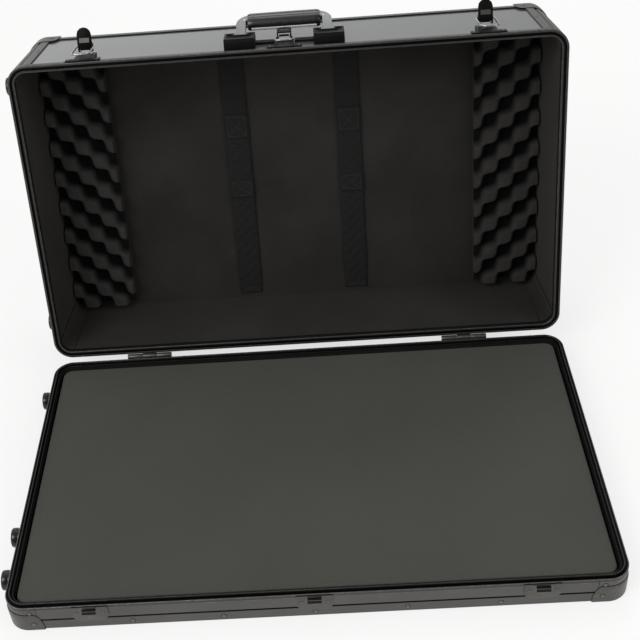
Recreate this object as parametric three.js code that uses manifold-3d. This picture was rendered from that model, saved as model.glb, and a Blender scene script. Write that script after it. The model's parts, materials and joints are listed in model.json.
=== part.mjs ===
// Flight case for a long DJ controller: a shallow base tray and a deep lid, hinged along the back, shown open.
// Millimetres. X runs to the right, Y to the back and Z up; the origin is the middle of the underside.
// The lid is built as it lies on the closed case, and then turned open about the hinge pins.
import * as THREE from 'three';
import { mergeVertices } from 'three/addons/utils/BufferGeometryUtils.js';
import Module from 'manifold-3d';

const wasm = await Module();
wasm.setup();

// The case
const caseWidth = 800;
const caseDepth = 472;
const baseHeight = 43;
const lidHeight = 180;
const cornerRadius = 28;
const openDegrees = 103;

// Clearances
const fitGap = 0.3;
const closedGap = 0.6;
const runningGap = 0.5;
const cutOverrun = 2;
const weldDistance = 1e-4;

// Panels
const wallThickness = 7;
const floorThickness = 9;
const ceilingThickness = 6;

// Aluminium rails
const leafThickness = 1.6;
const innerLeafThickness = 1.2;
const rimFlangeThickness = 2.5;
const innerLeafHeight = 9;
const lowerRailHeight = 17.5;
const lowerRailFoot = 14;
const railSeam = 0.8;
const lidRimLeafHeight = 10;
const topRailLeafHeight = 13;
const topRailWidth = 16;
const topRailRadius = 6;
const tongueOffset = 5;
const tongueThickness = 1.5;
const tongueHeight = 3;
const tongueClearance = 0.8;

// Vertical corner extrusions of the lid
const postWing = 7;
const postWebThickness = 1.2;

// Corner caps
const capThickness = 1.2;
const capHeight = 29;
const capFlat = 10;
const capRounding = 11;
const capSwellShare = 0.9;

// Foam
const foamInset = 14;
const foamBelowRim = 5;
const crateWidth = 100;
const crateEndGap = 12.1;
const crateSideGap = 2;
const crateMiddle = 23;
const crateSwing = 10;
const cratePeriod = 50;
const crateCellsPerPeriod = 4;

// Webbing straps on the ceiling
const strapWidth = 37;
const strapThickness = 2.4;
const strapEndGap = 7.1;
const strapOffset = 90;

// Catch plates
const latchEndInset = 112;
const catchWidth = 48;
const catchHeight = 28;
const catchThickness = 1.2;
const catchBelowRim = 2;
const hookWidth = 18;
const hookThickness = 1.2;
const hookReach = 5;
const hookBelowRim = 4;
const hookLip = 6;

// Draw latches
const latchFlangeWidth = 50;
const latchFlangeHeight = 13;
const latchPlateWidth = 28;
const latchPlateThickness = 1.5;
const latchPlateStart = 3;
const latchPlateEnd = 49;
const leverPivotUp = 43;
const leverPivotOut = 8.5;
const leverPinRadius = 1.5;
const earOffset = 7;
const earThickness = 1.5;
const earRadius = 2.6;
const leverWidth = 20.8;
const leverLength = 31;
const leverTopInner = 3;
const leverTopThickness = 2;
const leverSheetStart = 0.5;
const leverHeel = 3.5;
const leverFlangeThickness = 1.5;
const crankUp = 5;
const crankOut = 4;
const crankCheek = 2.3;
const cheekTopUp = 7;
const raisedDegrees = 80;
const loopWireRadius = 1.25;
const loopHalfWidth = 12.6;
const loopBarUp = -6.5;
const loopCornerRadius = 9;
const centreLoopTilt = 9;

// Carrying handle
const handlePostStart = 12;
const handlePostLength = 46;
const handlePostInner = 42;
const handlePostOuter = 86;
const handlePostHeight = 14;
const handlePostRounding = 4;
const handleTieHeight = 17;
const handleTieThickness = 2.5;
const handlePivotUp = 52;
const handlePivotOut = 8;
const bowInner = 56;
const bowOuter = 70;
const bowReach = 55;
const bowThickness = 8;
const bowCornerRadius = 24;
const bowBarDepth = 16;
const bowPinRadius = 2.5;
const bowPinLength = 2.2;
const recessInner = 54;
const recessOuter = 72;
const recessLength = 15;
const recessFloor = 1.5;
const gripHalfLength = 53;
const gripDepth = 30;
const gripThickness = 20;
const gripEdgeRadius = 7;
const handleRestDegrees = 18;

// Hinges
const hingeEndInset = 150;
const hingeWidth = 70;
const hingeLeafHeight = 23;
const hingeLeafThickness = 1.6;
const knuckleRadius = 4.2;
const knuckleWidth = 23;
const hingePinRadius = 1.8;
const stopLength = 6;
const stopThickness = 1.6;

// Feet on the left end
const footRadius = 13.5;
const footHeight = 14;
const footChamfer = 2;
const footDishRadius = 5;
const footDishDepth = 2;
const lidFootInset = 41;
const baseFootInset = 64;
const middleFootInset = 136;
const lidFootUp = 54;

// Facets
const arcSteps = 6;
const railEdgeSteps = 3;
const capEndSteps = 5;
const shapeArcSteps = 3;
const roundSides = 16;
const footSides = 24;
const wireSteps = 34;
const wireShapeSteps = 3;

// Values worked out from the sizes above
const frontY = -caseDepth / 2;
const backY = caseDepth / 2;
const leftX = -caseWidth / 2;
const panelInset = leafThickness + fitGap;
const panelInner = panelInset + wallThickness;
const channelInner = panelInner + fitGap;
const wallInnerHalfDepth = caseDepth / 2 - panelInner;
const railWidth = channelInner + innerLeafThickness;
const lidBottom = baseHeight + closedGap;
const lidTop = baseHeight + lidHeight;
const rimLeafBottom = lowerRailHeight + railSeam;
const rimChannelTop = baseHeight - rimFlangeThickness;
const lidRimSole = tongueHeight + 2 * tongueClearance + leafThickness;
const ceilingTop = lidTop - leafThickness - fitGap;
const ceilingBottom = ceilingTop - ceilingThickness;
const lidWallBottom = lidBottom + lidRimSole + fitGap;
const lidWallTop = ceilingBottom - fitGap;
const straightHalfWidth = caseWidth / 2 - cornerRadius;
const straightHalfDepth = caseDepth / 2 - cornerRadius;
const latchOffset = caseWidth / 2 - latchEndInset;
const hingeOffset = caseWidth / 2 - hingeEndInset;
const openAngle = THREE.MathUtils.degToRad(openDegrees);
const hingePivot = new THREE.Vector3(0, backY + fitGap + knuckleRadius, baseHeight + closedGap / 2);

// Finishes
const finish = (color, roughness, metalness) =>
  new THREE.MeshStandardMaterial({ color, roughness, metalness });
const darkAluminium = finish(0x4b4c4d, 0.42, 0.85);
const darkSteel = finish(0x555655, 0.38, 0.85);
const laminate = finish(0x8d9093, 0.35, 0.2);
const lining = finish(0x242220, 0.95, 0);
const foam = finish(0x474640, 0.95, 0);
const crateFoam = finish(0x1d1d1d, 0.98, 0);
const webbing = finish(0x161616, 0.9, 0);
const blackSteel = finish(0x1c1d1f, 0.35, 0.6);
const brightSteel = finish(0xa9aaa8, 0.22, 1);
const blackPlastic = finish(0x17181a, 0.5, 0);
const gripRubber = finish(0x232426, 0.7, 0);
const bowMetal = finish(0x8b8c8c, 0.4, 0.7);
const footRubber = finish(0x2b2c2a, 0.65, 0);

// Assembly groups: each turning piece hangs in a group at its own pivot
const flightCase = new THREE.Group();

function pivotGroup(parent, pivot, angle) {
  const turn = new THREE.Group();
  turn.position.copy(pivot);
  turn.rotation.x = angle;
  const held = new THREE.Group();
  held.position.copy(pivot).negate();
  turn.add(held);
  parent.add(turn);
  return held;
}

const lid = pivotGroup(flightCase, hingePivot, -openAngle);

function add(parent, name, geometry, material) {
  const mesh = new THREE.Mesh(geometry, material);
  mesh.name = name;
  parent.add(mesh);
  return mesh;
}

// Solid joining and cutting
function toSolid(geometry) {
  const bare = geometry.clone();
  for (const attribute of ['normal', 'uv']) bare.deleteAttribute(attribute);
  const merged = mergeVertices(bare, weldDistance);
  return new wasm.Manifold(new wasm.Mesh({
    numProp: 3,
    vertProperties: new Float32Array(merged.attributes.position.array),
    triVerts: new Uint32Array(merged.index.array),
  }));
}

function toGeometry(solid) {
  const mesh = solid.getMesh();
  const geometry = new THREE.BufferGeometry();
  geometry.setAttribute('position', new THREE.BufferAttribute(mesh.vertProperties, 3));
  geometry.setIndex(new THREE.BufferAttribute(mesh.triVerts, 1));
  return geometry;
}

function join(...geometries) {
  return toGeometry(geometries.map(toSolid).reduce((whole, piece) => whole.add(piece)));
}

function cut(geometry, ...cutters) {
  return toGeometry(cutters.map(toSolid).reduce((whole, piece) => whole.subtract(piece), toSolid(geometry)));
}

// Basic shapes
function block(x0, x1, y0, y1, z0, z1) {
  const box = new THREE.BoxGeometry(x1 - x0, y1 - y0, z1 - z0);
  return box.translate((x0 + x1) / 2, (y0 + y1) / 2, (z0 + z1) / 2);
}

function rodAlongX(x0, x1, y, z, radius, sides) {
  const rod = new THREE.CylinderGeometry(radius, radius, x1 - x0, sides);
  return rod.rotateZ(Math.PI / 2).translate((x0 + x1) / 2, y, z);
}

function roundedShape(width, depth, radius) {
  const x = width / 2 - radius;
  const y = depth / 2 - radius;
  const shape = new THREE.Shape();
  shape.absarc(x, y, radius, 0, Math.PI / 2);
  shape.absarc(-x, y, radius, Math.PI / 2, Math.PI);
  shape.absarc(-x, -y, radius, Math.PI, 1.5 * Math.PI);
  shape.absarc(x, -y, radius, 1.5 * Math.PI, 2 * Math.PI);
  shape.closePath();
  return shape;
}

function slab(shape, z0, z1) {
  const options = { depth: z1 - z0, bevelEnabled: false, curveSegments: shapeArcSteps };
  return new THREE.ExtrudeGeometry(shape, options).translate(0, 0, z0);
}

function insetSlab(inset, z0, z1) {
  const shape = roundedShape(caseWidth - 2 * inset, caseDepth - 2 * inset, cornerRadius - inset);
  return slab(shape, z0, z1);
}

// An outline drawn in Y and Z and given a width along X
function plateAlongX(points, x0, x1) {
  const shape = new THREE.Shape(points.map(([y, z]) => new THREE.Vector2(y, z)));
  const options = { depth: x1 - x0, bevelEnabled: false, curveSegments: shapeArcSteps };
  const plate = new THREE.ExtrudeGeometry(shape, options);
  const swap = new THREE.Matrix4().makeBasis(
    new THREE.Vector3(0, 1, 0), new THREE.Vector3(0, 0, 1), new THREE.Vector3(1, 0, 0));
  return plate.applyMatrix4(swap).translate(x0, 0, 0);
}

// A rail: a cross-section of inward distance and height, led round the case's rounded outline
function outlineStations() {
  const stations = [];
  const quadrants = [[1, 1], [-1, 1], [-1, -1], [1, -1]];
  quadrants.forEach(([sx, sy], quadrant) => {
    for (let step = 0; step <= arcSteps; step++) {
      const angle = (quadrant + step / arcSteps) * Math.PI / 2;
      stations.push({
        centre: new THREE.Vector2(sx * straightHalfWidth, sy * straightHalfDepth),
        outward: new THREE.Vector2(Math.cos(angle), Math.sin(angle)),
      });
    }
  });
  return stations;
}

function rail(section) {
  const stations = outlineStations();
  const count = section.length;
  const positions = [];
  for (const { centre, outward } of stations) {
    for (const [inward, height] of section) {
      const reach = cornerRadius - inward;
      positions.push(centre.x + outward.x * reach, centre.y + outward.y * reach, height);
    }
  }
  const indices = [];
  stations.forEach((_, station) => {
    const next = (station + 1) % stations.length;
    for (let corner = 0; corner < count; corner++) {
      const after = (corner + 1) % count;
      const [a, b] = [station * count + corner, station * count + after];
      const [c, d] = [next * count + corner, next * count + after];
      indices.push(a, b, c, b, d, c);
    }
  });
  const geometry = new THREE.BufferGeometry();
  geometry.setAttribute('position', new THREE.Float32BufferAttribute(positions, 3));
  geometry.setIndex(indices);
  return geometry;
}

// Base: floor, walls, rails and foam
const floorLip = leafThickness + fitGap;
add(flightCase, 'base_floor_panel', join(
  insetSlab(lowerRailFoot + fitGap, 0, floorLip + leafThickness),
  insetSlab(panelInset, floorLip, floorThickness),
), laminate);

const baseWallBottom = floorThickness + fitGap;
const baseWallTop = rimChannelTop - fitGap;

function wallPair(parent, prefix, z0, z1, material) {
  for (const [side, sign] of [['front', -1], ['back', 1]]) {
    const [near, far] = [caseDepth / 2 - panelInner, caseDepth / 2 - panelInset];
    const [y0, y1] = sign < 0 ? [-far, -near] : [near, far];
    add(parent, `${prefix}_wall_${side}`,
      block(-straightHalfWidth, straightHalfWidth, y0, y1, z0, z1), material);
  }
  for (const [side, sign] of [['left', -1], ['right', 1]]) {
    const [near, far] = [caseWidth / 2 - panelInner, caseWidth / 2 - panelInset];
    const [x0, x1] = sign < 0 ? [-far, -near] : [near, far];
    add(parent, `${prefix}_wall_${side}`,
      block(x0, x1, -straightHalfDepth, straightHalfDepth, z0, z1), material);
  }
}

wallPair(flightCase, 'base', baseWallBottom, baseWallTop, lining);

add(flightCase, 'base_rim_rail', rail([
  [0, rimLeafBottom],
  [leafThickness, rimLeafBottom],
  [leafThickness, rimChannelTop],
  [channelInner, rimChannelTop],
  [channelInner, rimChannelTop - innerLeafHeight],
  [railWidth, rimChannelTop - innerLeafHeight],
  [railWidth, baseHeight],
  [tongueOffset + tongueThickness, baseHeight],
  [tongueOffset + tongueThickness, baseHeight + tongueHeight],
  [tongueOffset, baseHeight + tongueHeight],
  [tongueOffset, baseHeight],
  [0, baseHeight],
]), darkAluminium);

add(flightCase, 'base_lower_rail', rail([
  [0, 0],
  [lowerRailFoot, 0],
  [lowerRailFoot, leafThickness],
  [leafThickness, leafThickness],
  [leafThickness, lowerRailHeight],
  [0, lowerRailHeight],
]), darkAluminium);

const foamTop = baseHeight - foamBelowRim;
add(flightCase, 'base_foam', insetSlab(foamInset, floorThickness + fitGap, foamTop), foam);

// Lid: ceiling, walls, rails and vertical corner extrusions
add(lid, 'lid_top_panel', insetSlab(topRailRadius + fitGap, ceilingBottom, ceilingTop), lining);
wallPair(lid, 'lid', lidWallBottom, lidWallTop, laminate);

add(lid, 'lid_rim_rail', rail([
  [0, lidBottom],
  [tongueOffset - tongueClearance, lidBottom],
  [tongueOffset - tongueClearance, lidBottom + tongueHeight + tongueClearance],
  [tongueOffset + tongueThickness + tongueClearance, lidBottom + tongueHeight + tongueClearance],
  [tongueOffset + tongueThickness + tongueClearance, lidBottom],
  [railWidth, lidBottom],
  [railWidth, lidBottom + lidRimLeafHeight],
  [channelInner, lidBottom + lidRimLeafHeight],
  [channelInner, lidBottom + lidRimSole],
  [leafThickness, lidBottom + lidRimSole],
  [leafThickness, lidBottom + lidRimLeafHeight],
  [0, lidBottom + lidRimLeafHeight],
]), darkAluminium);

function quarterSection(radius, angleFrom, angleTo, steps) {
  return Array.from({ length: steps + 1 }, (_, step) => {
    const angle = THREE.MathUtils.lerp(angleFrom, angleTo, step / steps);
    return [
      topRailRadius - radius * Math.cos(angle),
      lidTop - topRailRadius + radius * Math.sin(angle),
    ];
  });
}

add(lid, 'lid_top_rail', rail([
  [0, lidTop - topRailLeafHeight],
  [leafThickness, lidTop - topRailLeafHeight],
  ...quarterSection(topRailRadius - leafThickness, 0, Math.PI / 2, railEdgeSteps),
  [topRailWidth, lidTop - leafThickness],
  [topRailWidth, lidTop],
  ...quarterSection(topRailRadius, Math.PI / 2, 0, railEdgeSteps),
]), darkAluminium);

const postBottom = lidBottom + lidRimLeafHeight + fitGap;
const postTop = lidTop - topRailLeafHeight - fitGap;

// Drawn round the corner's own centre for the quarter that faces +X and +Y
function postShape() {
  const outer = cornerRadius;
  const skin = cornerRadius - leafThickness;
  const inner = cornerRadius - railWidth;
  const shape = new THREE.Shape();
  shape.moveTo(outer, -postWing);
  shape.absarc(0, 0, outer, 0, Math.PI / 2);
  shape.lineTo(-postWing, outer);
  shape.lineTo(-postWing, skin);
  shape.lineTo(fitGap, skin);
  shape.absarc(0, 0, inner, Math.PI / 2 - Math.asin(fitGap / inner), Math.asin(fitGap / inner), true);
  shape.lineTo(skin, fitGap);
  shape.lineTo(skin, -postWing);
  shape.closePath();
  const hollow = new THREE.Path();
  const [far, near] = [skin - fitGap, inner + innerLeafThickness];
  const web = fitGap + postWebThickness;
  const [farTurn, nearTurn] = [Math.asin(web / far), Math.asin(web / near)];
  hollow.absarc(0, 0, far, farTurn, Math.PI / 2 - farTurn);
  hollow.absarc(0, 0, near, Math.PI / 2 - nearTurn, nearTurn, true);
  hollow.closePath();
  shape.holes.push(hollow);
  return shape;
}

const corners = [
  ['front_left', -1, -1, Math.PI],
  ['front_right', 1, -1, 1.5 * Math.PI],
  ['back_left', -1, 1, 0.5 * Math.PI],
  ['back_right', 1, 1, 0],
];

for (const [corner, sx, sy, turn] of corners) {
  const post = add(lid, `lid_corner_post_${corner}`, slab(postShape(), postBottom, postTop), darkAluminium);
  post.rotation.z = turn;
  post.position.set(sx * straightHalfWidth, sy * straightHalfDepth, 0);
}

// Corner caps: a sheet bent round the corner, whose edge rounds down to nothing at both ends
function capStations() {
  const stations = [];
  const length = capFlat + capRounding;
  const place = (x, y, nx, ny, along) => {
    const past = Math.max(0, Math.abs(along) - capFlat) / capRounding;
    const straight = 1 - past;
    const swell = capSwellShare * (Math.sqrt(1 - past * past) - straight);
    const height = capHeight * (straight + swell);
    stations.push({ x, y, nx, ny, height: Math.max(height, capThickness) });
  };
  for (let step = 0; step < capEndSteps; step++) {
    const past = length - capRounding * step / capEndSteps;
    place(cornerRadius, -past, 1, 0, past);
  }
  for (let step = 0; step <= arcSteps; step++) {
    const angle = step / arcSteps * Math.PI / 2;
    const [nx, ny] = [Math.cos(angle), Math.sin(angle)];
    if (step === 0) place(cornerRadius, -capFlat, 1, 0, 0);
    place(cornerRadius * nx, cornerRadius * ny, nx, ny, 0);
    if (step === arcSteps) place(-capFlat, cornerRadius, 0, 1, 0);
  }
  for (let step = capEndSteps - 1; step >= 0; step--) {
    const past = length - capRounding * step / capEndSteps;
    place(-past, cornerRadius, 0, 1, past);
  }
  return stations;
}

function capGeometry(flipped) {
  const stations = capStations();
  const positions = [];
  for (const { x, y, nx, ny, height } of stations) {
    const [near, far] = [fitGap, fitGap + capThickness];
    for (const [offset, z] of [[near, 0], [far, 0], [far, height], [near, height]]) {
      positions.push(x + nx * offset, y + ny * offset, flipped ? -z : z);
    }
  }
  const indices = [];
  const ring = positions.length / 3 / stations.length;
  for (let station = 0; station < stations.length - 1; station++) {
    for (let corner = 0; corner < ring; corner++) {
      const [a, b] = [station * ring + corner, station * ring + (corner + 1) % ring];
      indices.push(a, a + ring, b, b, a + ring, b + ring);
    }
  }
  const last = (stations.length - 1) * ring;
  indices.push(0, 1, 2, 0, 2, 3);
  indices.push(last, last + 2, last + 1, last, last + 3, last + 2);
  if (flipped) indices.reverse();
  const geometry = new THREE.BufferGeometry();
  geometry.setAttribute('position', new THREE.Float32BufferAttribute(positions, 3));
  geometry.setIndex(indices);
  return geometry;
}

for (const [corner, sx, sy, turn] of corners) {
  for (const [parent, prefix, z, flipped] of [[flightCase, 'base', 0, false], [lid, 'lid', lidTop, true]]) {
    const cap = add(parent, `${prefix}_corner_cap_${corner}`, capGeometry(flipped), darkSteel);
    cap.rotation.z = turn;
    cap.position.set(sx * straightHalfWidth, sy * straightHalfDepth, z);
  }
}

// Egg-crate foam: a wavy face over a flat back, glued to the ceiling
const crateLength = 2 * (wallInnerHalfDepth - crateEndGap);

function crateGeometry() {
  const cell = cratePeriod / crateCellsPerPeriod;
  const columns = Math.round(crateWidth / cell);
  const rows = Math.round(crateLength / cell);
  const turnPerCell = 2 * Math.PI / crateCellsPerPeriod;
  const positions = [];
  const indices = [];
  const at = (column, row) => row * (columns + 1) + column;
  const place = (column, row) => [(column / columns - 0.5) * crateWidth, (row / rows - 0.5) * crateLength];
  for (let row = 0; row <= rows; row++) {
    for (let column = 0; column <= columns; column++) {
      const wave = Math.cos(turnPerCell * column) * Math.cos(turnPerCell * row);
      positions.push(...place(column, row), -(crateMiddle + crateSwing * wave));
    }
  }
  for (let row = 0; row < rows; row++) {
    for (let column = 0; column < columns; column++) {
      const [a, b] = [at(column, row), at(column + 1, row)];
      const [c, d] = [at(column + 1, row + 1), at(column, row + 1)];
      indices.push(a, d, c, a, c, b);
    }
  }
  const rim = [];
  for (let column = 0; column < columns; column++) rim.push([column, 0]);
  for (let row = 0; row < rows; row++) rim.push([columns, row]);
  for (let column = columns; column > 0; column--) rim.push([column, rows]);
  for (let row = rows; row > 0; row--) rim.push([0, row]);
  const firstBack = positions.length / 3;
  rim.forEach(([column, row]) => positions.push(...place(column, row), 0));
  rim.forEach(([column, row], index) => {
    const next = (index + 1) % rim.length;
    const [face, faceNext] = [at(column, row), at(...rim[next])];
    indices.push(face, faceNext, firstBack + next, face, firstBack + next, firstBack + index);
  });
  const outline = rim.map(([column, row]) => new THREE.Vector2(...place(column, row)));
  for (const triangle of THREE.ShapeUtils.triangulateShape(outline, [])) {
    indices.push(...triangle.map((index) => firstBack + index));
  }
  const geometry = new THREE.BufferGeometry();
  geometry.setAttribute('position', new THREE.Float32BufferAttribute(positions, 3));
  geometry.setIndex(indices);
  return geometry;
}

const crateX = caseWidth / 2 - railWidth - crateSideGap - crateWidth / 2;
for (const [side, sign] of [['left', -1], ['right', 1]]) {
  const crate = add(lid, `lid_eggcrate_foam_${side}`, crateGeometry(), crateFoam);
  crate.position.set(sign * crateX, 0, ceilingBottom - fitGap);
}

const strapHalfLength = wallInnerHalfDepth - strapEndGap;
for (const [side, sign] of [['left', -1], ['right', 1]]) {
  const strapTop = ceilingBottom - fitGap;
  add(lid, `lid_strap_${side}`, block(
    sign * strapOffset - strapWidth / 2, sign * strapOffset + strapWidth / 2,
    -strapHalfLength, strapHalfLength, strapTop - strapThickness, strapTop), webbing);
}

// Catch plates on the front of the base
const latchPlaces = [['left', -latchOffset], ['centre', 0], ['right', latchOffset]];
const catchBack = frontY - fitGap;
const catchFront = catchBack - catchThickness;
const catchTop = baseHeight - catchBelowRim;

function catchGeometry(x) {
  const half = catchWidth / 2;
  const shape = new THREE.Shape();
  const round = catchHeight / 2;
  shape.moveTo(-half, catchHeight);
  shape.lineTo(-half, round);
  shape.absarc(-half + round, round, round, Math.PI, 1.5 * Math.PI);
  shape.absarc(half - round, round, round, 1.5 * Math.PI, 2 * Math.PI);
  shape.lineTo(half, catchHeight);
  shape.closePath();
  const plate = slab(shape, 0, catchThickness).rotateX(Math.PI / 2)
    .translate(x, catchBack, catchTop - catchHeight);
  const hookTop = baseHeight - hookBelowRim;
  const hookOut = catchFront - hookReach;
  const hook = join(
    block(x - hookWidth / 2, x + hookWidth / 2, hookOut, catchFront + catchThickness / 2,
      hookTop - hookThickness, hookTop),
    block(x - hookWidth / 2, x + hookWidth / 2, hookOut, hookOut + hookThickness,
      hookTop - hookLip, hookTop - hookThickness / 2));
  return join(plate, hook);
}

for (const [side, x] of latchPlaces) add(flightCase, `catch_plate_${side}`, catchGeometry(x), darkSteel);

// Draw latches on the front of the lid
const leverPivotZ = baseHeight + leverPivotUp;
const leverPivotY = frontY - leverPivotOut;
const plateBack = frontY - fitGap;
const plateFront = plateBack - latchPlateThickness;
const panelFront = frontY + panelInset;

function latchPlateGeometry(x) {
  const flange = latchFlangeWidth / 2;
  const half = latchPlateWidth / 2;
  const z0 = baseHeight + latchPlateStart;
  const z1 = baseHeight + latchPlateEnd;
  const padBottom = lidBottom + lidRimLeafHeight + fitGap;
  const ears = [-1, 1].map((sign) => {
    const centre = x + sign * (earOffset + earThickness / 2);
    return join(
      rodAlongX(centre - earThickness / 2, centre + earThickness / 2, leverPivotY, leverPivotZ,
        earRadius, roundSides),
      block(centre - earThickness / 2, centre + earThickness / 2, leverPivotY,
        (plateFront + plateBack) / 2, leverPivotZ - earRadius, leverPivotZ + earRadius));
  });
  const whole = join(
    block(x - flange, x + flange, plateFront, plateBack, z0, z0 + latchFlangeHeight),
    block(x - half, x + half, plateFront, plateBack, z0, z1),
    block(x - half, x + half, (plateFront + plateBack) / 2, panelFront - fitGap, padBottom, z1),
    ...ears);
  const reach = earOffset + earThickness + cutOverrun;
  return cut(whole, rodAlongX(x - reach, x + reach, leverPivotY, leverPivotZ,
    leverPinRadius + fitGap, roundSides));
}

// The lever as it lies closed; its cheeks carry the loop on a crank beside the pivot
function leverGeometry(x) {
  const half = leverWidth / 2;
  const top = leverPivotY - leverTopInner;
  const tip = roundedTip(x, half, top);
  const crankY = leverPivotY + crankOut;
  const crankZ = leverPivotZ + crankUp;
  const cheekOutline = [
    [top - leverTopThickness / 2, leverPivotZ - leverHeel],
    [leverPivotY + leverPinRadius, leverPivotZ - leverHeel],
    [crankY, crankZ - crankUp - crankCheek / 2],
    [crankY + crankCheek, crankZ - crankCheek / 2],
    [crankY + crankCheek, crankZ + crankCheek / 2],
    [crankY, crankZ + crankCheek],
    [top - leverTopThickness / 2, crankZ + cheekTopUp],
  ];
  const cheeks = [-1, 1].map((sign) => {
    const outer = x + sign * half;
    const inner = outer - sign * leverFlangeThickness;
    return plateAlongX(cheekOutline, Math.min(inner, outer), Math.max(inner, outer));
  });
  const pin = rodAlongX(x - half + leverFlangeThickness / 2, x + half - leverFlangeThickness / 2,
    leverPivotY, leverPivotZ, leverPinRadius, roundSides);
  const crankBore = rodAlongX(x - half - cutOverrun, x + half + cutOverrun, crankY, crankZ,
    loopWireRadius + fitGap, roundSides);
  return cut(join(tip, ...cheeks, pin), crankBore);
}

// The lever's top sheet, with a half-round finger end; it starts past the pivot to clear the ears when raised
function roundedTip(x, half, top) {
  const shape = new THREE.Shape();
  shape.moveTo(-half, leverSheetStart);
  shape.lineTo(half, leverSheetStart);
  shape.absarc(0, leverLength - half, half, 0, Math.PI);
  shape.closePath();
  return slab(shape, 0, leverTopThickness).rotateX(Math.PI / 2).translate(x, top, leverPivotZ);
}

class LoopPath extends THREE.CurvePath {
  constructor(points, radius) {
    super();
    let from = points[0];
    for (let index = 1; index < points.length - 1; index++) {
      const corner = points[index];
      const into = corner.clone().sub(points[index - 1]).normalize();
      const away = points[index + 1].clone().sub(corner).normalize();
      const start = corner.clone().addScaledVector(into, -radius[index]);
      const end = corner.clone().addScaledVector(away, radius[index]);
      this.add(new THREE.LineCurve3(from, start));
      this.add(new THREE.QuadraticBezierCurve3(start, corner, end));
      from = end;
    }
    this.add(new THREE.LineCurve3(from, points[points.length - 1]));
  }
}

// The wire loop: two legs, a rounded bar that hooks the catch, and ends turned in to the lever
function loopGeometry(x, crankY, crankZ) {
  const barZ = baseHeight + loopBarUp;
  const inner = leverWidth / 2 - leverFlangeThickness + fitGap;
  const at = (side, z) => new THREE.Vector3(side, 0, z);
  const bend = 2 * loopWireRadius;
  const points = [
    at(inner, crankZ), at(loopHalfWidth, crankZ), at(loopHalfWidth, barZ),
    at(-loopHalfWidth, barZ), at(-loopHalfWidth, crankZ), at(-inner, crankZ),
  ];
  const path = new LoopPath(points, [0, bend, loopCornerRadius, loopCornerRadius, bend, 0]);
  const section = new THREE.Shape();
  section.absarc(0, 0, loopWireRadius, 0, 2 * Math.PI);
  const wire = new THREE.ExtrudeGeometry(section, {
    steps: wireSteps, extrudePath: path, curveSegments: wireShapeSteps, bevelEnabled: false,
  });
  return wire.translate(x, crankY, 0);
}

for (const [side, x] of latchPlaces) {
  add(lid, `latch_plate_${side}`, latchPlateGeometry(x), blackSteel);
  const raised = side === 'centre' ? 0 : THREE.MathUtils.degToRad(raisedDegrees);
  const tilt = side === 'centre' ? THREE.MathUtils.degToRad(centreLoopTilt) : 0;
  const leverPivot = new THREE.Vector3(x, leverPivotY, leverPivotZ);
  const leverGroup = pivotGroup(lid, leverPivot, raised);
  add(leverGroup, `latch_lever_${side}`, leverGeometry(x), blackSteel);
  const crank = new THREE.Vector3(x, leverPivotY + crankOut, leverPivotZ + crankUp);
  const loopGroup = pivotGroup(leverGroup, crank, -raised - tilt);
  add(loopGroup, `latch_loop_${side}`, loopGeometry(x, crank.y, crank.z), brightSteel);
}

// Carrying handle
const postFront = frontY - handlePostHeight;
const handlePivotY = frontY - handlePivotOut;
const handlePivotZ = baseHeight + handlePivotUp;

function handlePostGeometry(sign) {
  const z0 = baseHeight + handlePostStart;
  const z1 = z0 + handlePostLength;
  const back = panelFront - fitGap;
  const outline = [
    [back, z0],
    [back, z1],
    [postFront + handlePostRounding, z1],
    [postFront, z1 - handlePostRounding],
    [postFront, z0 + handlePostRounding],
    [postFront + handlePostRounding, z0],
  ];
  const span = (a, b) => [Math.min(sign * a, sign * b), Math.max(sign * a, sign * b)];
  const body = plateAlongX(outline, ...span(handlePostInner, handlePostOuter));
  const tieInner = latchPlateWidth / 2 + runningGap;
  const tie = block(...span(tieInner, handlePostInner + cutOverrun), back - handleTieThickness, back,
    z1 - handleTieHeight, z1);
  const recess = block(...span(recessInner, recessOuter), postFront - cutOverrun,
    frontY - recessFloor, z1 - recessLength, z1 + cutOverrun);
  const bore = rodAlongX(...span(recessInner - bowPinLength - fitGap, recessOuter + bowPinLength + fitGap),
    handlePivotY, handlePivotZ, bowPinRadius + fitGap, roundSides);
  return cut(join(body, tie), recess, bore);
}

for (const [side, sign] of [['left', -1], ['right', 1]]) {
  add(lid, `handle_post_${side}`, handlePostGeometry(sign), blackPlastic);
}

// The bow as it would lie flat on the wall: arms, a rounded cross bar, and pins in the posts
function bowGeometry() {
  const half = bowThickness / 2;
  const shape = new THREE.Shape();
  shape.moveTo(bowOuter, -half);
  shape.lineTo(bowOuter, bowReach - bowCornerRadius);
  shape.absarc(bowOuter - bowCornerRadius, bowReach - bowCornerRadius, bowCornerRadius, 0, Math.PI / 2);
  shape.absarc(bowCornerRadius - bowOuter, bowReach - bowCornerRadius, bowCornerRadius, Math.PI / 2, Math.PI);
  shape.lineTo(-bowOuter, -half);
  shape.lineTo(-bowInner, -half);
  shape.lineTo(-bowInner, bowReach - bowBarDepth);
  shape.lineTo(bowInner, bowReach - bowBarDepth);
  shape.lineTo(bowInner, -half);
  shape.closePath();
  const flat = slab(shape, -half, half).rotateX(Math.PI / 2).translate(0, handlePivotY, handlePivotZ);
  const pins = [-1, 1].map((sign) => {
    const ends = [sign * (recessInner - bowPinLength), sign * (recessOuter + bowPinLength)];
    return rodAlongX(Math.min(...ends), Math.max(...ends), handlePivotY, handlePivotZ,
      bowPinRadius, roundSides);
  });
  return join(flat, ...pins);
}

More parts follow.
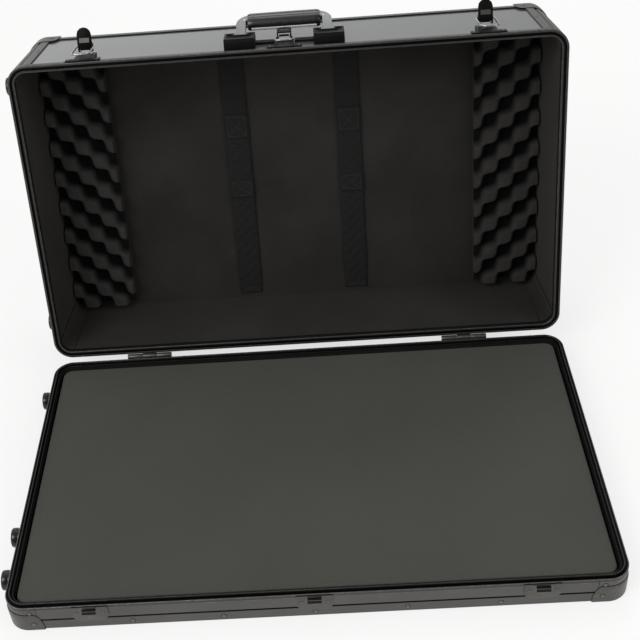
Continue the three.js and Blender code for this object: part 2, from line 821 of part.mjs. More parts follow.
function gripGeometry() {
  const [w, h, r] = [gripDepth / 2, gripThickness / 2, gripEdgeRadius];
  const outline = [[-w, -h + r], [-w, h - r], [-w + r, h], [w - r, h], [w, h - r], [w, -h + r], [w - r, -h],
    [-w + r, -h]];
  const middleZ = handlePivotZ + bowReach - gripDepth / 2 + fitGap;
  const body = plateAlongX(outline.map(([along, out]) => [handlePivotY - out, middleZ + along]),
    -gripHalfLength, gripHalfLength);
  const slotHalf = bowThickness / 2 + fitGap;
  const slot = block(-gripHalfLength - cutOverrun, gripHalfLength + cutOverrun,
    handlePivotY - slotHalf, handlePivotY + slotHalf,
    handlePivotZ + bowReach - bowBarDepth - fitGap, handlePivotZ + bowReach + cutOverrun);
  return cut(body, slot);
}

const handlePivot = new THREE.Vector3(0, handlePivotY, handlePivotZ);
const handle = pivotGroup(lid, handlePivot, THREE.MathUtils.degToRad(handleRestDegrees));
add(handle, 'handle_bow', bowGeometry(), bowMetal);
add(handle, 'handle_grip', gripGeometry(), gripRubber);

// Stop hinges on the back
const hingeLeafBack = backY + fitGap;
const hingeLeafFace = hingeLeafBack + hingeLeafThickness;

// sign is -1 for the leaf on the base and 1 for the leaf on the lid
function hingeLeaf(x, sign, knuckles) {
  const { y, z } = hingePivot;
  const clear = z + sign * (knuckleRadius + runningGap);
  const far = z + sign * hingeLeafHeight;
  const plate = block(x - hingeWidth / 2, x + hingeWidth / 2, hingeLeafBack, hingeLeafFace,
    Math.min(clear, far), Math.max(clear, far));
  const rolls = knuckles.map(([x0, x1]) => join(
    rodAlongX(x + x0, x + x1, y, z, knuckleRadius, roundSides),
    block(x + x0, x + x1, hingeLeafBack, hingeLeafFace,
      Math.min(z, clear + sign * cutOverrun), Math.max(z, clear + sign * cutOverrun))));
  return { solid: join(plate, ...rolls), x };
}

function boreHinge({ solid, x }) {
  const reach = hingeWidth / 2 + cutOverrun;
  return cut(solid, rodAlongX(x - reach, x + reach, hingePivot.y, hingePivot.z,
    hingePinRadius + fitGap, roundSides));
}

// The finger on the lid's leaf that meets the base's leaf when the lid stands open
function stopFinger(x) {
  const half = knuckleWidth / 2 - runningGap;
  const near = hingeLeafFace + fitGap;
  const finger = block(x - half, x + half, near, near + stopThickness,
    hingePivot.z - knuckleRadius - stopLength, hingePivot.z - knuckleRadius / 2);
  return finger.translate(0, -hingePivot.y, -hingePivot.z).rotateX(openAngle)
    .translate(0, hingePivot.y, hingePivot.z);
}

for (const [side, x] of [['left', -hingeOffset], ['right', hingeOffset]]) {
  const middle = knuckleWidth / 2;
  const end = hingeWidth / 2;
  const baseLeaf = hingeLeaf(x, -1, [[-end, -middle], [middle, end]]);
  const lidLeaf = hingeLeaf(x, 1, [[-middle + runningGap, middle - runningGap]]);
  lidLeaf.solid = join(lidLeaf.solid, stopFinger(x));
  add(flightCase, `hinge_leaf_base_${side}`, boreHinge(baseLeaf), darkSteel);
  add(lid, `hinge_leaf_lid_${side}`, boreHinge(lidLeaf), darkSteel);
  add(flightCase, `hinge_pin_${side}`, rodAlongX(x - end, x + end, hingePivot.y, hingePivot.z,
    hingePinRadius, roundSides), brightSteel);
}

// Rubber feet on the left end
function footGeometry(seatX, y, z) {
  const points = [
    [0, 0],
    [footRadius, 0],
    [footRadius, footHeight - footChamfer],
    [footRadius - footChamfer, footHeight],
    [footDishRadius, footHeight],
    [footDishRadius, footHeight - footDishDepth],
    [0, footHeight - footDishDepth],
  ].map(([radius, height]) => new THREE.Vector2(radius, height));
  return new THREE.LatheGeometry(points, footSides).rotateZ(Math.PI / 2).translate(seatX, y, z);
}

const baseFootZ = baseHeight / 2;
const baseFeet = [
  ['front', frontY + baseFootInset],
  ['middle', frontY + middleFootInset],
  ['back', backY - baseFootInset],
];
for (const [place, y] of baseFeet) {
  add(flightCase, `base_foot_${place}`, footGeometry(leftX - fitGap, y, baseFootZ), footRubber);
}
for (const [place, y] of [['front', frontY + lidFootInset], ['back', backY - lidFootInset]]) {
  add(lid, `lid_foot_${place}`, footGeometry(leftX - fitGap, y, baseHeight + lidFootUp), footRubber);
}

export default flightCase;
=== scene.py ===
"""The looks of an aluminium-framed flight case with an open lid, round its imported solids."""
import json
import math

import bmesh
import bpy
from mathutils import Matrix, Vector, noise


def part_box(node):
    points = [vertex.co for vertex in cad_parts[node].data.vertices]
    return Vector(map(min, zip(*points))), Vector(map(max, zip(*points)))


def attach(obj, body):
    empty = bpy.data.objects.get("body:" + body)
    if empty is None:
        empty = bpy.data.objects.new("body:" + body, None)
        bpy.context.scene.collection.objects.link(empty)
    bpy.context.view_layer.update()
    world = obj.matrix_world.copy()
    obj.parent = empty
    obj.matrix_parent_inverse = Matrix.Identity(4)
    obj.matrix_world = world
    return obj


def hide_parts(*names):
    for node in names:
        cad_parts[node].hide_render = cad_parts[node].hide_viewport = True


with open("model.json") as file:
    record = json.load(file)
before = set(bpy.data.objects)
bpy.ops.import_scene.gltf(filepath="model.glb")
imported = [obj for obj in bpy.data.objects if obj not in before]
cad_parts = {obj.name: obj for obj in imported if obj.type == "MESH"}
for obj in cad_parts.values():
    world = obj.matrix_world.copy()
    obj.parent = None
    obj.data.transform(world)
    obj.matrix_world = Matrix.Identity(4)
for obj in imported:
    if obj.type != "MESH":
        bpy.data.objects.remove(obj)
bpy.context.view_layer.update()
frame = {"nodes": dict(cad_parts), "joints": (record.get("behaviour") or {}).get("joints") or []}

# Camera: it stands before the case, a little right of its middle, and looks down into it.
# The photograph is tilted by a few degrees, and its middle lies a little beside the lens's axis.
MM = 0.001
photo_side = 640
focal_pixels = 1131
axis_pixel = (285, 303)
camera_place = Vector((42, -1118, 1224)) * MM
yaw, pitch, roll = (math.radians(angle) for angle in (2.9, 38.7, -5.3))

ahead = Vector((-math.sin(yaw) * math.cos(pitch), math.cos(yaw) * math.cos(pitch), -math.sin(pitch)))
level = Vector((math.cos(yaw), math.sin(yaw), 0))
upright = level.cross(ahead)
camera_right = level * math.cos(roll) + upright * math.sin(roll)
camera_up = upright * math.cos(roll) - level * math.sin(roll)

camera_data = bpy.data.cameras.new("photo_camera")
camera_data.lens = camera_data.sensor_width * focal_pixels / photo_side
camera_data.shift_x = (photo_side / 2 - axis_pixel[0]) / photo_side
camera_data.shift_y = (axis_pixel[1] - photo_side / 2) / photo_side
camera = bpy.data.objects.new("photo_camera", camera_data)
camera.matrix_world = (Matrix.Translation(camera_place)
                       @ Matrix((camera_right, camera_up, -ahead)).transposed().to_4x4())
bpy.context.scene.collection.objects.link(camera)
bpy.context.scene.camera = camera
bpy.context.scene.view_settings.view_transform = "Standard"

# Studio: a pale matt floor, one large soft lamp at the front left and two weaker ones.
# The world gives a plain light all round. Metal mirrors a white backdrop at the back and left, and a
# darker room on the camera's side.
floor_half, floor_drop = 6.0, 0.5 * MM
floor_colour = "#f6f6f4"
floor_whiteness = 0.7
world_light = 0.62
backdrop_way = (-0.93, 0.35, 0.1)
backdrop_light, room_light = 1.0, 0.2


def tint(code):
    """An sRGB hex colour as the linear colour that a shader takes."""
    channels = [int(code[place:place + 2], 16) / 255 for place in (1, 3, 5)]
    linear = [c / 12.92 if c <= 0.04045 else ((c + 0.055) / 1.055) ** 2.4 for c in channels]
    return (*linear, 1.0)


def feed(node, inputs):
    """Sets a node's inputs, each by a value, a socket, or a node whose first live output feeds it."""
    for key, value in inputs.items():
        if isinstance(value, bpy.types.Node):
            value = next(socket for socket in value.outputs if socket.enabled)
        if isinstance(value, bpy.types.NodeSocket):
            node.id_data.links.new(value, node.inputs[key])
        else:
            node.inputs[key].default_value = value


def add_node(tree, kind, inputs=None, **settings):
    """Adds a node with its settings and whatever feeds it."""
    made = tree.nodes.new(kind)
    for name, value in settings.items():
        setattr(made, name, value)
    feed(made, inputs or {})
    return made


def new_finish(name, inputs):
    """A material with a Principled shader; gives it, its tree, the shader and the place on the object."""
    finish = bpy.data.materials.new(name)
    finish.use_nodes = True
    tree = finish.node_tree
    shader = tree.nodes["Principled BSDF"]
    feed(shader, inputs)
    return finish, tree, shader, add_node(tree, "ShaderNodeTexCoord").outputs["Object"]


def skin_of(shader, marks, dark, light, gloss=None, grain=None, relief=0.0, ridges=None):
    """Shades a finish between two tints by its marks, and gives the colour node.

    Its roughness runs between the two of gloss by the grain, and its relief, in millimetres, follows
    the ridges. Where no grain or ridges are given, the marks stand for them.
    """
    tree = shader.id_data
    shade = add_node(tree, "ShaderNodeMix", {0: marks, 6: tint(dark), 7: tint(light)}, data_type="RGBA")
    feed(shader, {"Base Color": shade})
    if gloss:
        rough = add_node(tree, "ShaderNodeMapRange", {
            "Value": grain or marks, "From Min": 0.3, "From Max": 0.7,
            "To Min": gloss[0], "To Max": gloss[1]})
        feed(shader, {"Roughness": rough})
    if relief:
        bump = add_node(tree, "ShaderNodeBump", {
            "Height": ridges or marks, "Strength": relief, "Distance": MM})
        feed(shader, {"Normal": bump})
    return shade


def add_piece(name, mesh, body, *finishes):
    """Puts a finished mesh in the scene as a piece that rides on a body."""
    for finish in finishes:
        mesh.materials.append(finish)
    piece = bpy.data.objects.new(name, mesh)
    bpy.context.scene.collection.objects.link(piece)
    if body:
        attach(piece, body)
    return piece


def mesh_of(name, shape, smooth_angle=40):
    """Turns a bmesh into a mesh that is smooth but for edges sharper than the angle."""
    mesh = bpy.data.meshes.new(name)
    shape.to_mesh(mesh)
    shape.free()
    mesh.shade_smooth()
    mesh.set_sharp_from_angle(angle=math.radians(smooth_angle))
    return mesh


floor_finish, tree, shader, place = new_finish("matt_painted_floor", {
    "Base Color": tint(floor_colour), "Roughness": 0.9, "Specular IOR Level": 0.2})
grain = add_node(tree, "ShaderNodeTexNoise", {"Vector": place, "Scale": 40.0, "Detail": 3.0})
bump = add_node(tree, "ShaderNodeBump", {"Height": grain, "Strength": 0.02})
feed(shader, {"Normal": bump})
path = add_node(tree, "ShaderNodeLightPath")
mirrored = add_node(tree, "ShaderNodeMath", {
    0: path.outputs["Is Glossy Ray"], 1: path.outputs["Is Transmission Ray"]}, operation="ADD")
seen = add_node(tree, "ShaderNodeMath", {0: path.outputs["Is Camera Ray"], 1: mirrored}, operation="ADD")
whiter = add_node(tree, "ShaderNodeMath", {0: seen, 1: floor_whiteness}, operation="MULTIPLY")
glow = add_node(tree, "ShaderNodeEmission", {"Color": tint("#ffffff"), "Strength": 1.0})
mixed = add_node(tree, "ShaderNodeMixShader", {0: whiter, 1: shader, 2: glow})
feed(tree.nodes["Material Output"], {"Surface": mixed})

floor_shape = bmesh.new()
bmesh.ops.create_grid(floor_shape, x_segments=4, y_segments=4, size=floor_half)
bmesh.ops.translate(floor_shape, verts=floor_shape.verts, vec=(0, 0, -floor_drop))
add_piece("studio_floor", mesh_of("studio_floor", floor_shape), None, floor_finish)

world = bpy.data.worlds.new("studio")
bpy.context.scene.world = world
world.use_nodes = True
tree = world.node_tree
tree.nodes.clear()
path = add_node(tree, "ShaderNodeLightPath")
seen = add_node(tree, "ShaderNodeMath", {
    0: path.outputs["Is Camera Ray"], 1: path.outputs["Is Transmission Ray"]}, operation="MAXIMUM")
way = add_node(tree, "ShaderNodeTexCoord").outputs["Generated"]
towards = add_node(tree, "ShaderNodeVectorMath", {0: way, 1: backdrop_way}, operation="DOT_PRODUCT")
backdrop = add_node(tree, "ShaderNodeMapRange", {
    "Value": towards, "From Min": -0.3, "From Max": 0.75,
    "To Min": room_light, "To Max": backdrop_light})
mirrored = add_node(tree, "ShaderNodeMix", {0: path.outputs["Is Glossy Ray"], 2: world_light, 3: backdrop})
strength = add_node(tree, "ShaderNodeMix", {0: seen, 2: mirrored, 3: 1.0})
light = add_node(tree, "ShaderNodeBackground", {"Color": tint("#ffffff"), "Strength": strength})
add_node(tree, "ShaderNodeOutputWorld", {"Surface": light.outputs["Background"]})

for name, spot, aim, watts, side in (
        ("key", (-1.5, -1.5, 2.3), (0, 0.1, 0.1), 34, 1.5),
        ("fill", (1.9, -0.9, 1.6), (0, 0.1, 0.2), 12, 1.6),
        ("rear", (0.3, 2.2, 2.0), (0, 0.2, 0.2), 14, 1.8)):
    lamp = bpy.data.lights.new(name, "AREA")
    lamp.energy = watts
    lamp.size = side
    holder = bpy.data.objects.new(name, lamp)
    holder.location = spot
    holder.rotation_euler = (Vector(aim) - Vector(spot)).to_track_quat("-Z", "Y").to_euler()
    bpy.context.scene.collection.objects.link(holder)

# Case frame: the driving sizes of the whole case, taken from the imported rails.
# The lid's pieces are drawn as they lie on the closed case, and then turned open about the hinge pins.
rim_low, rim_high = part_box("base_rim_rail")
half_width, half_depth = rim_high.x, rim_high.y
corner_radius = 28 * MM
straight_x, straight_y = half_width - corner_radius, half_depth - corner_radius
tongue_height = 3 * MM
rim_top = rim_high.z - tongue_height
closed_gap = 0.6 * MM
fit_gap = 0.3 * MM
lid_height = 180 * MM
lid_bottom, lid_top = rim_top + closed_gap, rim_top + lid_height
joints = {joint["name"]: joint for joint in frame["joints"]}


def turned_about(joint_name, degrees):
    """The turn by so many degrees about a joint's axis, which runs along X."""
    pivot = Matrix.Translation(joints[joint_name]["pos_m"])
    return pivot @ Matrix.Rotation(math.radians(degrees), 4, "X") @ pivot.inverted()


lid_open = turned_about("lid_hinge", -joints["lid_hinge"]["range_deg"][1])

# Boards: thin plywood. The tray's is stained black, and the lid's carries a smooth graphite laminate
# outside and a short-pile lining inside. Each is cut square, and its edges are hidden in the rails.
panel_inset = 1.9 * MM
wall_thickness = 7 * MM
floor_grain = 3.5 * MM

plywood, tree, shader, place = new_finish("black_stained_plywood", {"Roughness": 0.62})
along = add_node(tree, "ShaderNodeMapping", {"Vector": place, "Scale": (6.0, 1 / floor_grain, 60.0)})
grain = add_node(tree, "ShaderNodeTexNoise", {"Vector": along, "Scale": 1.0,
                                              "Detail": 5.0, "Distortion": 0.4})
skin_of(shader, grain, "#1b1a19", "#33302d", relief=0.25)

for part in ("floor_panel", "wall_front", "wall_back", "wall_left", "wall_right"):
    board = frame["nodes"][f"base_{part}"]
    board.data.materials.clear()
    board.data.materials.append(plywood)

# The laminate is a pressed melamine skin: a flat, even grey with a faint orange-peel ripple of
# about 3 mm, and a film of dust that dulls it in patches.
laminate, tree, shader, place = new_finish("graphite_melamine_laminate", {
    "Specular IOR Level": 0.62, "Coat Weight": 0.25, "Coat Roughness": 0.14})
cloud = add_node(tree, "ShaderNodeTexNoise", {"Vector": place, "Scale": 7.0, "Detail": 4.0})
peel = add_node(tree, "ShaderNodeTexNoise", {"Vector": place, "Scale": 330.0, "Detail": 2.0})
skin_of(shader, cloud, "#434547", "#4d4f51", (0.13, 0.2), relief=0.06, ridges=peel)

# The lining is short-pile cloth glued to the board. Its pile of about 1 mm scatters light softly at
# a grazing angle, and it lies a little unevenly, which shows as faint clouds.
lining, tree, shader, place = new_finish("glued_pile_lining", {
    "Roughness": 0.95, "Specular IOR Level": 0.2, "Sheen Weight": 0.22, "Sheen Roughness": 0.5,
    "Sheen Tint": tint("#8a847c")})
cloud = add_node(tree, "ShaderNodeTexNoise", {"Vector": place, "Scale": 9.0, "Detail": 5.0})
pile = add_node(tree, "ShaderNodeTexNoise", {
    "Vector": place, "Scale": 620.0, "Detail": 4.0, "Roughness": 0.7})
blend = add_node(tree, "ShaderNodeMath", {0: cloud, 1: pile}, operation="MULTIPLY")
spread = add_node(tree, "ShaderNodeMapRange", {"Value": blend, "From Min": 0.1, "From Max": 0.45})
skin_of(shader, spread, "#1f1e1c", "#32302d", relief=0.5, ridges=pile)

ceiling_top = lid_top - panel_inset
ceiling_thickness = 6 * MM
ceiling_bottom = ceiling_top - ceiling_thickness
ceiling_inset = 6.3 * MM
lid_sole = 6.2 * MM
wall_bottom, wall_top = lid_bottom + lid_sole + fit_gap, ceiling_bottom - fit_gap
quarters = ((1, 1), (-1, 1), (-1, -1), (1, -1))


def rounded_outline(half_x, half_y, radius, steps):
    """Points round a rectangle with round corners, counter-clockwise from the middle of the right."""
    points = []
    for quarter, (sx, sy) in enumerate(quarters):
        for step in range(steps + 1):
            angle = (quarter + step / steps) * math.pi / 2
            points.append((sx * (half_x - radius) + radius * math.cos(angle),
                           sy * (half_y - radius) + radius * math.sin(angle)))
    return points


def rectangle(left, right, near, far):
    """The four corners of a rectangle, counter-clockwise."""
    return [(left, near), (right, near), (right, far), (left, far)]


def skinned(shape, rings):
    """Joins rings of points, or single points, into a closed skin that faces outward; gives its faces."""
    faces = [shape.faces.new(ring) for ring in (rings[0], rings[-1]) if len(set(ring)) > 1]
    for ring, following in zip(rings, rings[1:]):
        for index in range(len(ring)):
            after = (index + 1) % len(ring)
            corners = dict.fromkeys((ring[index], following[index], following[after], ring[after]))
            faces.append(shape.faces.new(list(corners)))
    bmesh.ops.recalc_face_normals(shape, faces=shape.faces)
    return faces


def extruded(outline, low, high):
    """A flat outline raised into a plate between two heights."""
    shape = bmesh.new()
    skinned(shape, [[shape.verts.new((x, y, height)) for x, y in outline] for height in (low, high)])
    return shape


def lined_board(node, shape, inward):
    """A lid board whose faces that look inward carry the lining."""
    for face in shape.faces:
        face.material_index = 1 if face.normal.dot(inward) > 0.5 else 0
    shape.transform(lid_open)
    piece = add_piece(f"{node}_board", mesh_of(node, shape), "lid", laminate, lining)
    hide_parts(node)


lined_board("lid_top_panel", extruded(
    rounded_outline(half_width - ceiling_inset, half_depth - ceiling_inset, corner_radius - ceiling_inset,
                    steps=10), ceiling_bottom, ceiling_top), Vector((0, 0, -1)))
for side, across in (("front", -1), ("back", 1)):
    near, far = sorted(across * (half_depth - depth) for depth in (panel_inset, panel_inset + wall_thickness))
    lined_board(f"lid_wall_{side}", extruded(
        rectangle(-straight_x, straight_x, near, far), wall_bottom, wall_top), Vector((0, -across, 0)))
for side, across in (("left", -1), ("right", 1)):
    near, far = sorted(across * (half_width - depth) for depth in (panel_inset, panel_inset + wall_thickness))
    lined_board(f"lid_wall_{side}", extruded(
        rectangle(near, far, -straight_y, straight_y), wall_bottom, wall_top), Vector((-across, 0, 0)))

# Rails: dark anodised aluminium extrusions bent round the case, in four straights and four corner
# pieces that meet in fine butt joints. A tongue on the tray's rail fits a groove in the lid's.
corner_reach, joint_gap = 14 * MM, 0.5 * MM
corner_arc = corner_radius * math.pi / 2
arc_steps = 20
leaf, inner_leaf = 1.6 * MM, 1.2 * MM
channel = panel_inset + wall_thickness + fit_gap
rail_width = channel + inner_leaf
tongue_in, tongue_wide, tongue_play = 5 * MM, 1.5 * MM, 0.8 * MM
lip_wide, lip_depth, lip_groove = 1.5 * MM, 2 * MM, 0.7 * MM
seam_widening, seam_fade, edge_fade = 0.6 * MM, 1.1 * MM, 1.0 * MM

# Anodising gives the metal a satin grey skin. The die leaves fine lines along the rail, drawn here
# 1.6 mm apart so that they show. Corners that get knocked are worn to brighter metal. A recess share
# on each point of a section darkens the metal towards black: painted shade in grooves and seams.
anodised, tree, shader, place = new_finish("dark_anodised_aluminium", {"Metallic": 0.82})
run = add_node(tree, "ShaderNodeUVMap", uv_map="along_rail").outputs["UV"]
stretch = add_node(tree, "ShaderNodeMapping", {"Vector": run, "Scale": (5.0, 620.0, 1.0)})
lines = add_node(tree, "ShaderNodeTexNoise", {"Vector": stretch, "Scale": 1.0, "Detail": 3.0})
cloud = add_node(tree, "ShaderNodeTexNoise", {"Vector": place, "Scale": 14.0, "Detail": 4.0})
chips = add_node(tree, "ShaderNodeTexNoise", {"Vector": place, "Scale": 160.0, "Detail": 4.0})
worn = add_node(tree, "ShaderNodeAttribute", attribute_name="wear")
rubbed = add_node(tree, "ShaderNodeMath", {0: worn.outputs["Fac"], 1: chips}, operation="MULTIPLY")
bare = add_node(tree, "ShaderNodeMapRange", {
    "Value": rubbed, "From Min": 0.34, "From Max": 0.62, "To Max": 0.75})
shade = skin_of(shader, cloud, "#51504f", "#62615f", (0.36, 0.5), lines, relief=0.12, ridges=lines)
metal = add_node(tree, "ShaderNodeMix", {0: bare, 6: shade, 7: tint("#a3a29f")}, data_type="RGBA")
# Painted shade: the recess share darkens the metal towards black in grooves, seams and hollows.
deep = add_node(tree, "ShaderNodeAttribute", attribute_name="recess_shade")
shaded_metal = add_node(tree, "ShaderNodeMix", {
    0: deep.outputs["Fac"], 6: metal, 7: tint("#080808")}, data_type="RGBA")
feed(shader, {"Base Color": shaded_metal})


def softened(section, steps=3):
    """Rounds a section's corners, (inward, height, radius, painted shade if any). Outer ones get full wear.
    """
    nearly_half = 0.49
    count = len(section)
    area = sum(section[i][0] * section[(i + 1) % count][1] - section[(i + 1) % count][0] * section[i][1]
               for i in range(count))
    points = []
    for index, (inward, height, radius, *recess_shade) in enumerate(section):
        here = Vector((inward, height))
        before = Vector(section[index - 1][:2]) - here
        after = Vector(section[(index + 1) % count][:2]) - here
        outer = before.cross(after) * area < 0
        reach = min(radius, before.length * nearly_half, after.length * nearly_half)
        start, end = here + before.normalized() * reach, here + after.normalized() * reach
        turns = max(steps, round(radius / MM))
        for step in range(turns + 1):
            share = step / turns
            point = start.lerp(here, share).lerp(here.lerp(end, share), share)
            points.append((point.x, point.y, math.sin(math.pi * share) if outer else 0.0,
                           recess_shade[0] if recess_shade else 0.0))
    return points


def corner_stations(quarter):
    """Places round one corner with its two short straights: outer point, outward, way along."""
    sx, sy = quarters[quarter]
    centre = Vector((sx * straight_x, sy * straight_y))
    stations = []
    for step in range(arc_steps + 1):
        angle = (quarter + step / arc_steps) * math.pi / 2
        outward = Vector((math.cos(angle), math.sin(angle)))
        stations.append((centre + outward * corner_radius, outward, step / arc_steps * corner_arc))
    first, last = stations[0], stations[-1]
    for at, sign, end in ((0, -1, first), (len(stations) + 1, 1, last)):
        tangent = Vector((-end[1].y, end[1].x)) * sign
        stations.insert(at, (end[0] + tangent * corner_reach, end[1], end[2] + sign * corner_reach))
    return stations


def straight_stations(quarter):
    """The two ends of the straight that follows one corner."""
    start = corner_stations(quarter)[-1]
    end = corner_stations((quarter + 1) % 4)[0]
    tangent = Vector((-start[1].y, start[1].x))
    length = (end[0] - start[0]).length
    return [(start[0] + tangent * joint_gap, start[1], 0.0),
            (end[0] - tangent * joint_gap, start[1], length)]


def rail(node, section, body, turn=None):
    """A rail: its section led round the case in eight closed lengths."""
    points = softened(section)
    shape = bmesh.new()
    wear = shape.verts.layers.float.new("wear")
    deep = shape.verts.layers.float.new("recess_shade")
    uv = shape.loops.layers.uv.new("along_rail")
    runs = [stations(quarter) for quarter in range(4) for stations in (corner_stations, straight_stations)]
    for stations in runs:
        rings, spots = [], {}
        for outer, outward, along in stations:
            ring = []
            across = 0.0
            for index, (inward, height, worn_share, recess_shade_share) in enumerate(points):
                flat = outer - outward * inward
                vert = shape.verts.new((flat.x, flat.y, height))
                vert[wear], vert[deep] = worn_share, recess_shade_share
                if index:
                    across += (Vector(points[index][:2]) - Vector(points[index - 1][:2])).length
                spots[vert] = (along, across)
                ring.append(vert)
            rings.append(ring)
        for face in skinned(shape, rings):
            for loop in face.loops:
                loop[uv].uv = spots[loop.vert]
    if turn:
        shape.transform(turn)
    piece = add_piece(f"{node}_extrusion", mesh_of(node, shape), body, anodised)
    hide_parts(node)


rim_flange, rim_inner_leaf = 2.5 * MM, 9 * MM
hollow_start, hollow_upper, hollow_lower, hollow_end = 1.2 * MM, 2.2 * MM, 3.8 * MM, 5.6 * MM
leaf_bottom = rim_low.z + seam_widening
inner_bottom = rim_top - rim_flange - rim_inner_leaf
# The recess shares of this section are painted shade in the seam, the grooves, and on the lip and tongue.
rail("base_rim_rail", [
    (0, leaf_bottom + seam_fade, 0.1 * MM),
    (0, leaf_bottom, 0.4 * MM, 0.9),
    (leaf, leaf_bottom, 0.3 * MM, 0.9),
    (leaf, rim_top - rim_flange, 0.2 * MM),
    (channel, rim_top - rim_flange, 0.2 * MM),
    (channel, inner_bottom, 0.3 * MM),
    (rail_width, inner_bottom, 0.3 * MM),
    (rail_width, rim_top, 0.5 * MM, 0.85),
    (rail_width - lip_wide, rim_top, 0.4 * MM, 0.85),
    (rail_width - lip_wide, rim_top - lip_depth, 0.2 * MM, 1.0),
    (tongue_in + tongue_wide, rim_top - lip_depth, 0.2 * MM, 1.0),
    (tongue_in + tongue_wide, rim_high.z, 0.5 * MM, 0.6),
    (tongue_in, rim_high.z, 0.5 * MM, 0.6),
    (tongue_in, rim_top - lip_depth, 0.2 * MM, 1.0),
    (lip_wide, rim_top - lip_depth, 0.2 * MM, 1.0),
    (lip_wide, rim_top, 0.4 * MM),
    (0, rim_top, 0.7 * MM),
    (0, rim_top - hollow_start, 0.1 * MM),
    (lip_groove, rim_top - hollow_upper, 0.3 * MM, 0.5),
    (lip_groove, rim_top - hollow_lower, 0.4 * MM, 0.3),
    (0, rim_top - hollow_end, 0.3 * MM),
], "base")

lower_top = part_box("base_lower_rail")[1].z - seam_widening
lower_foot, foot_fade = 14 * MM, 1.5 * MM
rail("base_lower_rail", [
    (0, 0, 0.9 * MM, 0.5),
    (lower_foot, 0, 0.4 * MM),
    (lower_foot, leaf, 0.4 * MM),
    (leaf, leaf, 0.3 * MM),
    (leaf, lower_top, 0.3 * MM, 0.9),
    (0, lower_top, 0.4 * MM, 0.9),
    (0, lower_top - seam_fade, 0.1 * MM),
    (0, foot_fade, 0.1 * MM),
], "base")

lid_leaf, groove_mouth = 10 * MM, 0.8 * MM
line_top, line_middle, line_foot = 3.4 * MM, 2.8 * MM, 2.2 * MM
lid_leaf_top = lid_bottom + lid_leaf
groove_in = tongue_in - 2 * tongue_play
groove_out = tongue_in + tongue_wide + tongue_play
groove_top = lid_bottom + tongue_height + tongue_play
# The recess shares of the lid's rim are painted shade, on its flat faces too, which darkens the whole rim.
rail("lid_rim_rail", [
    (0, lid_bottom, 1.8 * MM, 0.25),
    (groove_in, lid_bottom, 0.4 * MM, 0.5),
    (groove_in, lid_bottom + groove_mouth, 0.1 * MM, 0.9),
    (groove_in, groove_top, 0.2 * MM, 1.0),
    (groove_out, groove_top, 0.2 * MM, 1.0),
    (groove_out, lid_bottom + groove_mouth, 0.1 * MM, 0.9),
    (groove_out, lid_bottom, 0.4 * MM, 0.6),
    (rail_width, lid_bottom, 1.2 * MM, 0.45),
    (rail_width, lid_leaf_top, 0.4 * MM, 0.7),
    (channel, lid_leaf_top, 0.3 * MM),
    (channel, lid_bottom + lid_sole, 0.2 * MM),
    (leaf, lid_bottom + lid_sole, 0.2 * MM),
    (leaf, lid_leaf_top, 0.3 * MM, 0.9),
    (0, lid_leaf_top, 0.4 * MM, 0.9),
    (0, lid_leaf_top - edge_fade, 0.1 * MM, 0.3),
    (0, lid_bottom + line_top, 0.1 * MM),
    (lip_groove, lid_bottom + line_middle, 0.1 * MM, 1.0),
    (0, lid_bottom + line_foot, 0.1 * MM),
], "lid", lid_open)

top_rail_leaf, top_rail_wide, top_rail_round = 15 * MM, 16 * MM, 4.5 * MM
score_near, score_middle, score_far = 3 * MM, 3.5 * MM, 4 * MM
rail("lid_top_rail", [
    (0, lid_top - top_rail_leaf + edge_fade, 0.1 * MM),
    (0, lid_top - top_rail_leaf, 0.5 * MM, 0.6),
    (leaf, lid_top - top_rail_leaf, 0.3 * MM, 0.8),
    (leaf, lid_top - leaf, top_rail_round - leaf),
    (top_rail_wide, lid_top - leaf, 0.3 * MM),
    (top_rail_wide, lid_top, 0.6 * MM),
    (top_rail_wide - score_near, lid_top, 0.1 * MM),
    (top_rail_wide - score_middle, lid_top - lip_groove, 0.1 * MM, 1.0),
    (top_rail_wide - score_far, lid_top, 0.1 * MM),
    (0, lid_top, top_rail_round),
], "lid", lid_open)

# Corner posts: hollow extrusions that stand in the lid's four corners and hold the walls between
# them. The round outside has shallow flutes whose hollows are darkened as painted shade, and the
# inside is covered by the lining.
post_wing = 7 * MM
flutes, flute_depth, flute_steps = 4, 1.3 * MM, 48
lining_margin = 0.5 * MM
post_low, post_high = lid_leaf_top + fit_gap, lid_top - top_rail_leaf - fit_gap
post_skin, post_inner = corner_radius - leaf, corner_radius - rail_width


def post_outline():
    """The post's section round its own corner, for the corner that faces +X and +Y."""
    points = [(corner_radius, -post_wing)]
    for step in range(flute_steps + 1):
        share = step / flute_steps
        angle = share * math.pi / 2
        wave = max(0.0, math.sin(math.pi * (2 * flutes + 1) * share) * -1)
        reach = corner_radius - flute_depth * wave ** 0.6
        points.append((reach * math.cos(angle), reach * math.sin(angle)))
    points += [(-post_wing, corner_radius), (-post_wing, post_skin), (fit_gap, post_skin)]
    lean = math.asin(fit_gap / post_inner)
    for step in range(arc_steps + 1):
        angle = math.pi / 2 - lean - step / arc_steps * (math.pi / 2 - 2 * lean)
        points.append((post_inner * math.cos(angle), post_inner * math.sin(angle)))
    return points + [(post_skin, fit_gap), (post_skin, -post_wing)]


corner_turns = (("back_right", 1, 1, 0), ("back_left", -1, 1, 90),
                ("front_left", -1, -1, 180), ("front_right", 1, -1, 270))


def at_corner(sx, sy, degrees, height=0.0):
    """The place of a piece that is drawn round its own corner."""
    return (Matrix.Translation((sx * straight_x, sy * straight_y, height))
            @ Matrix.Rotation(math.radians(degrees), 4, "Z"))


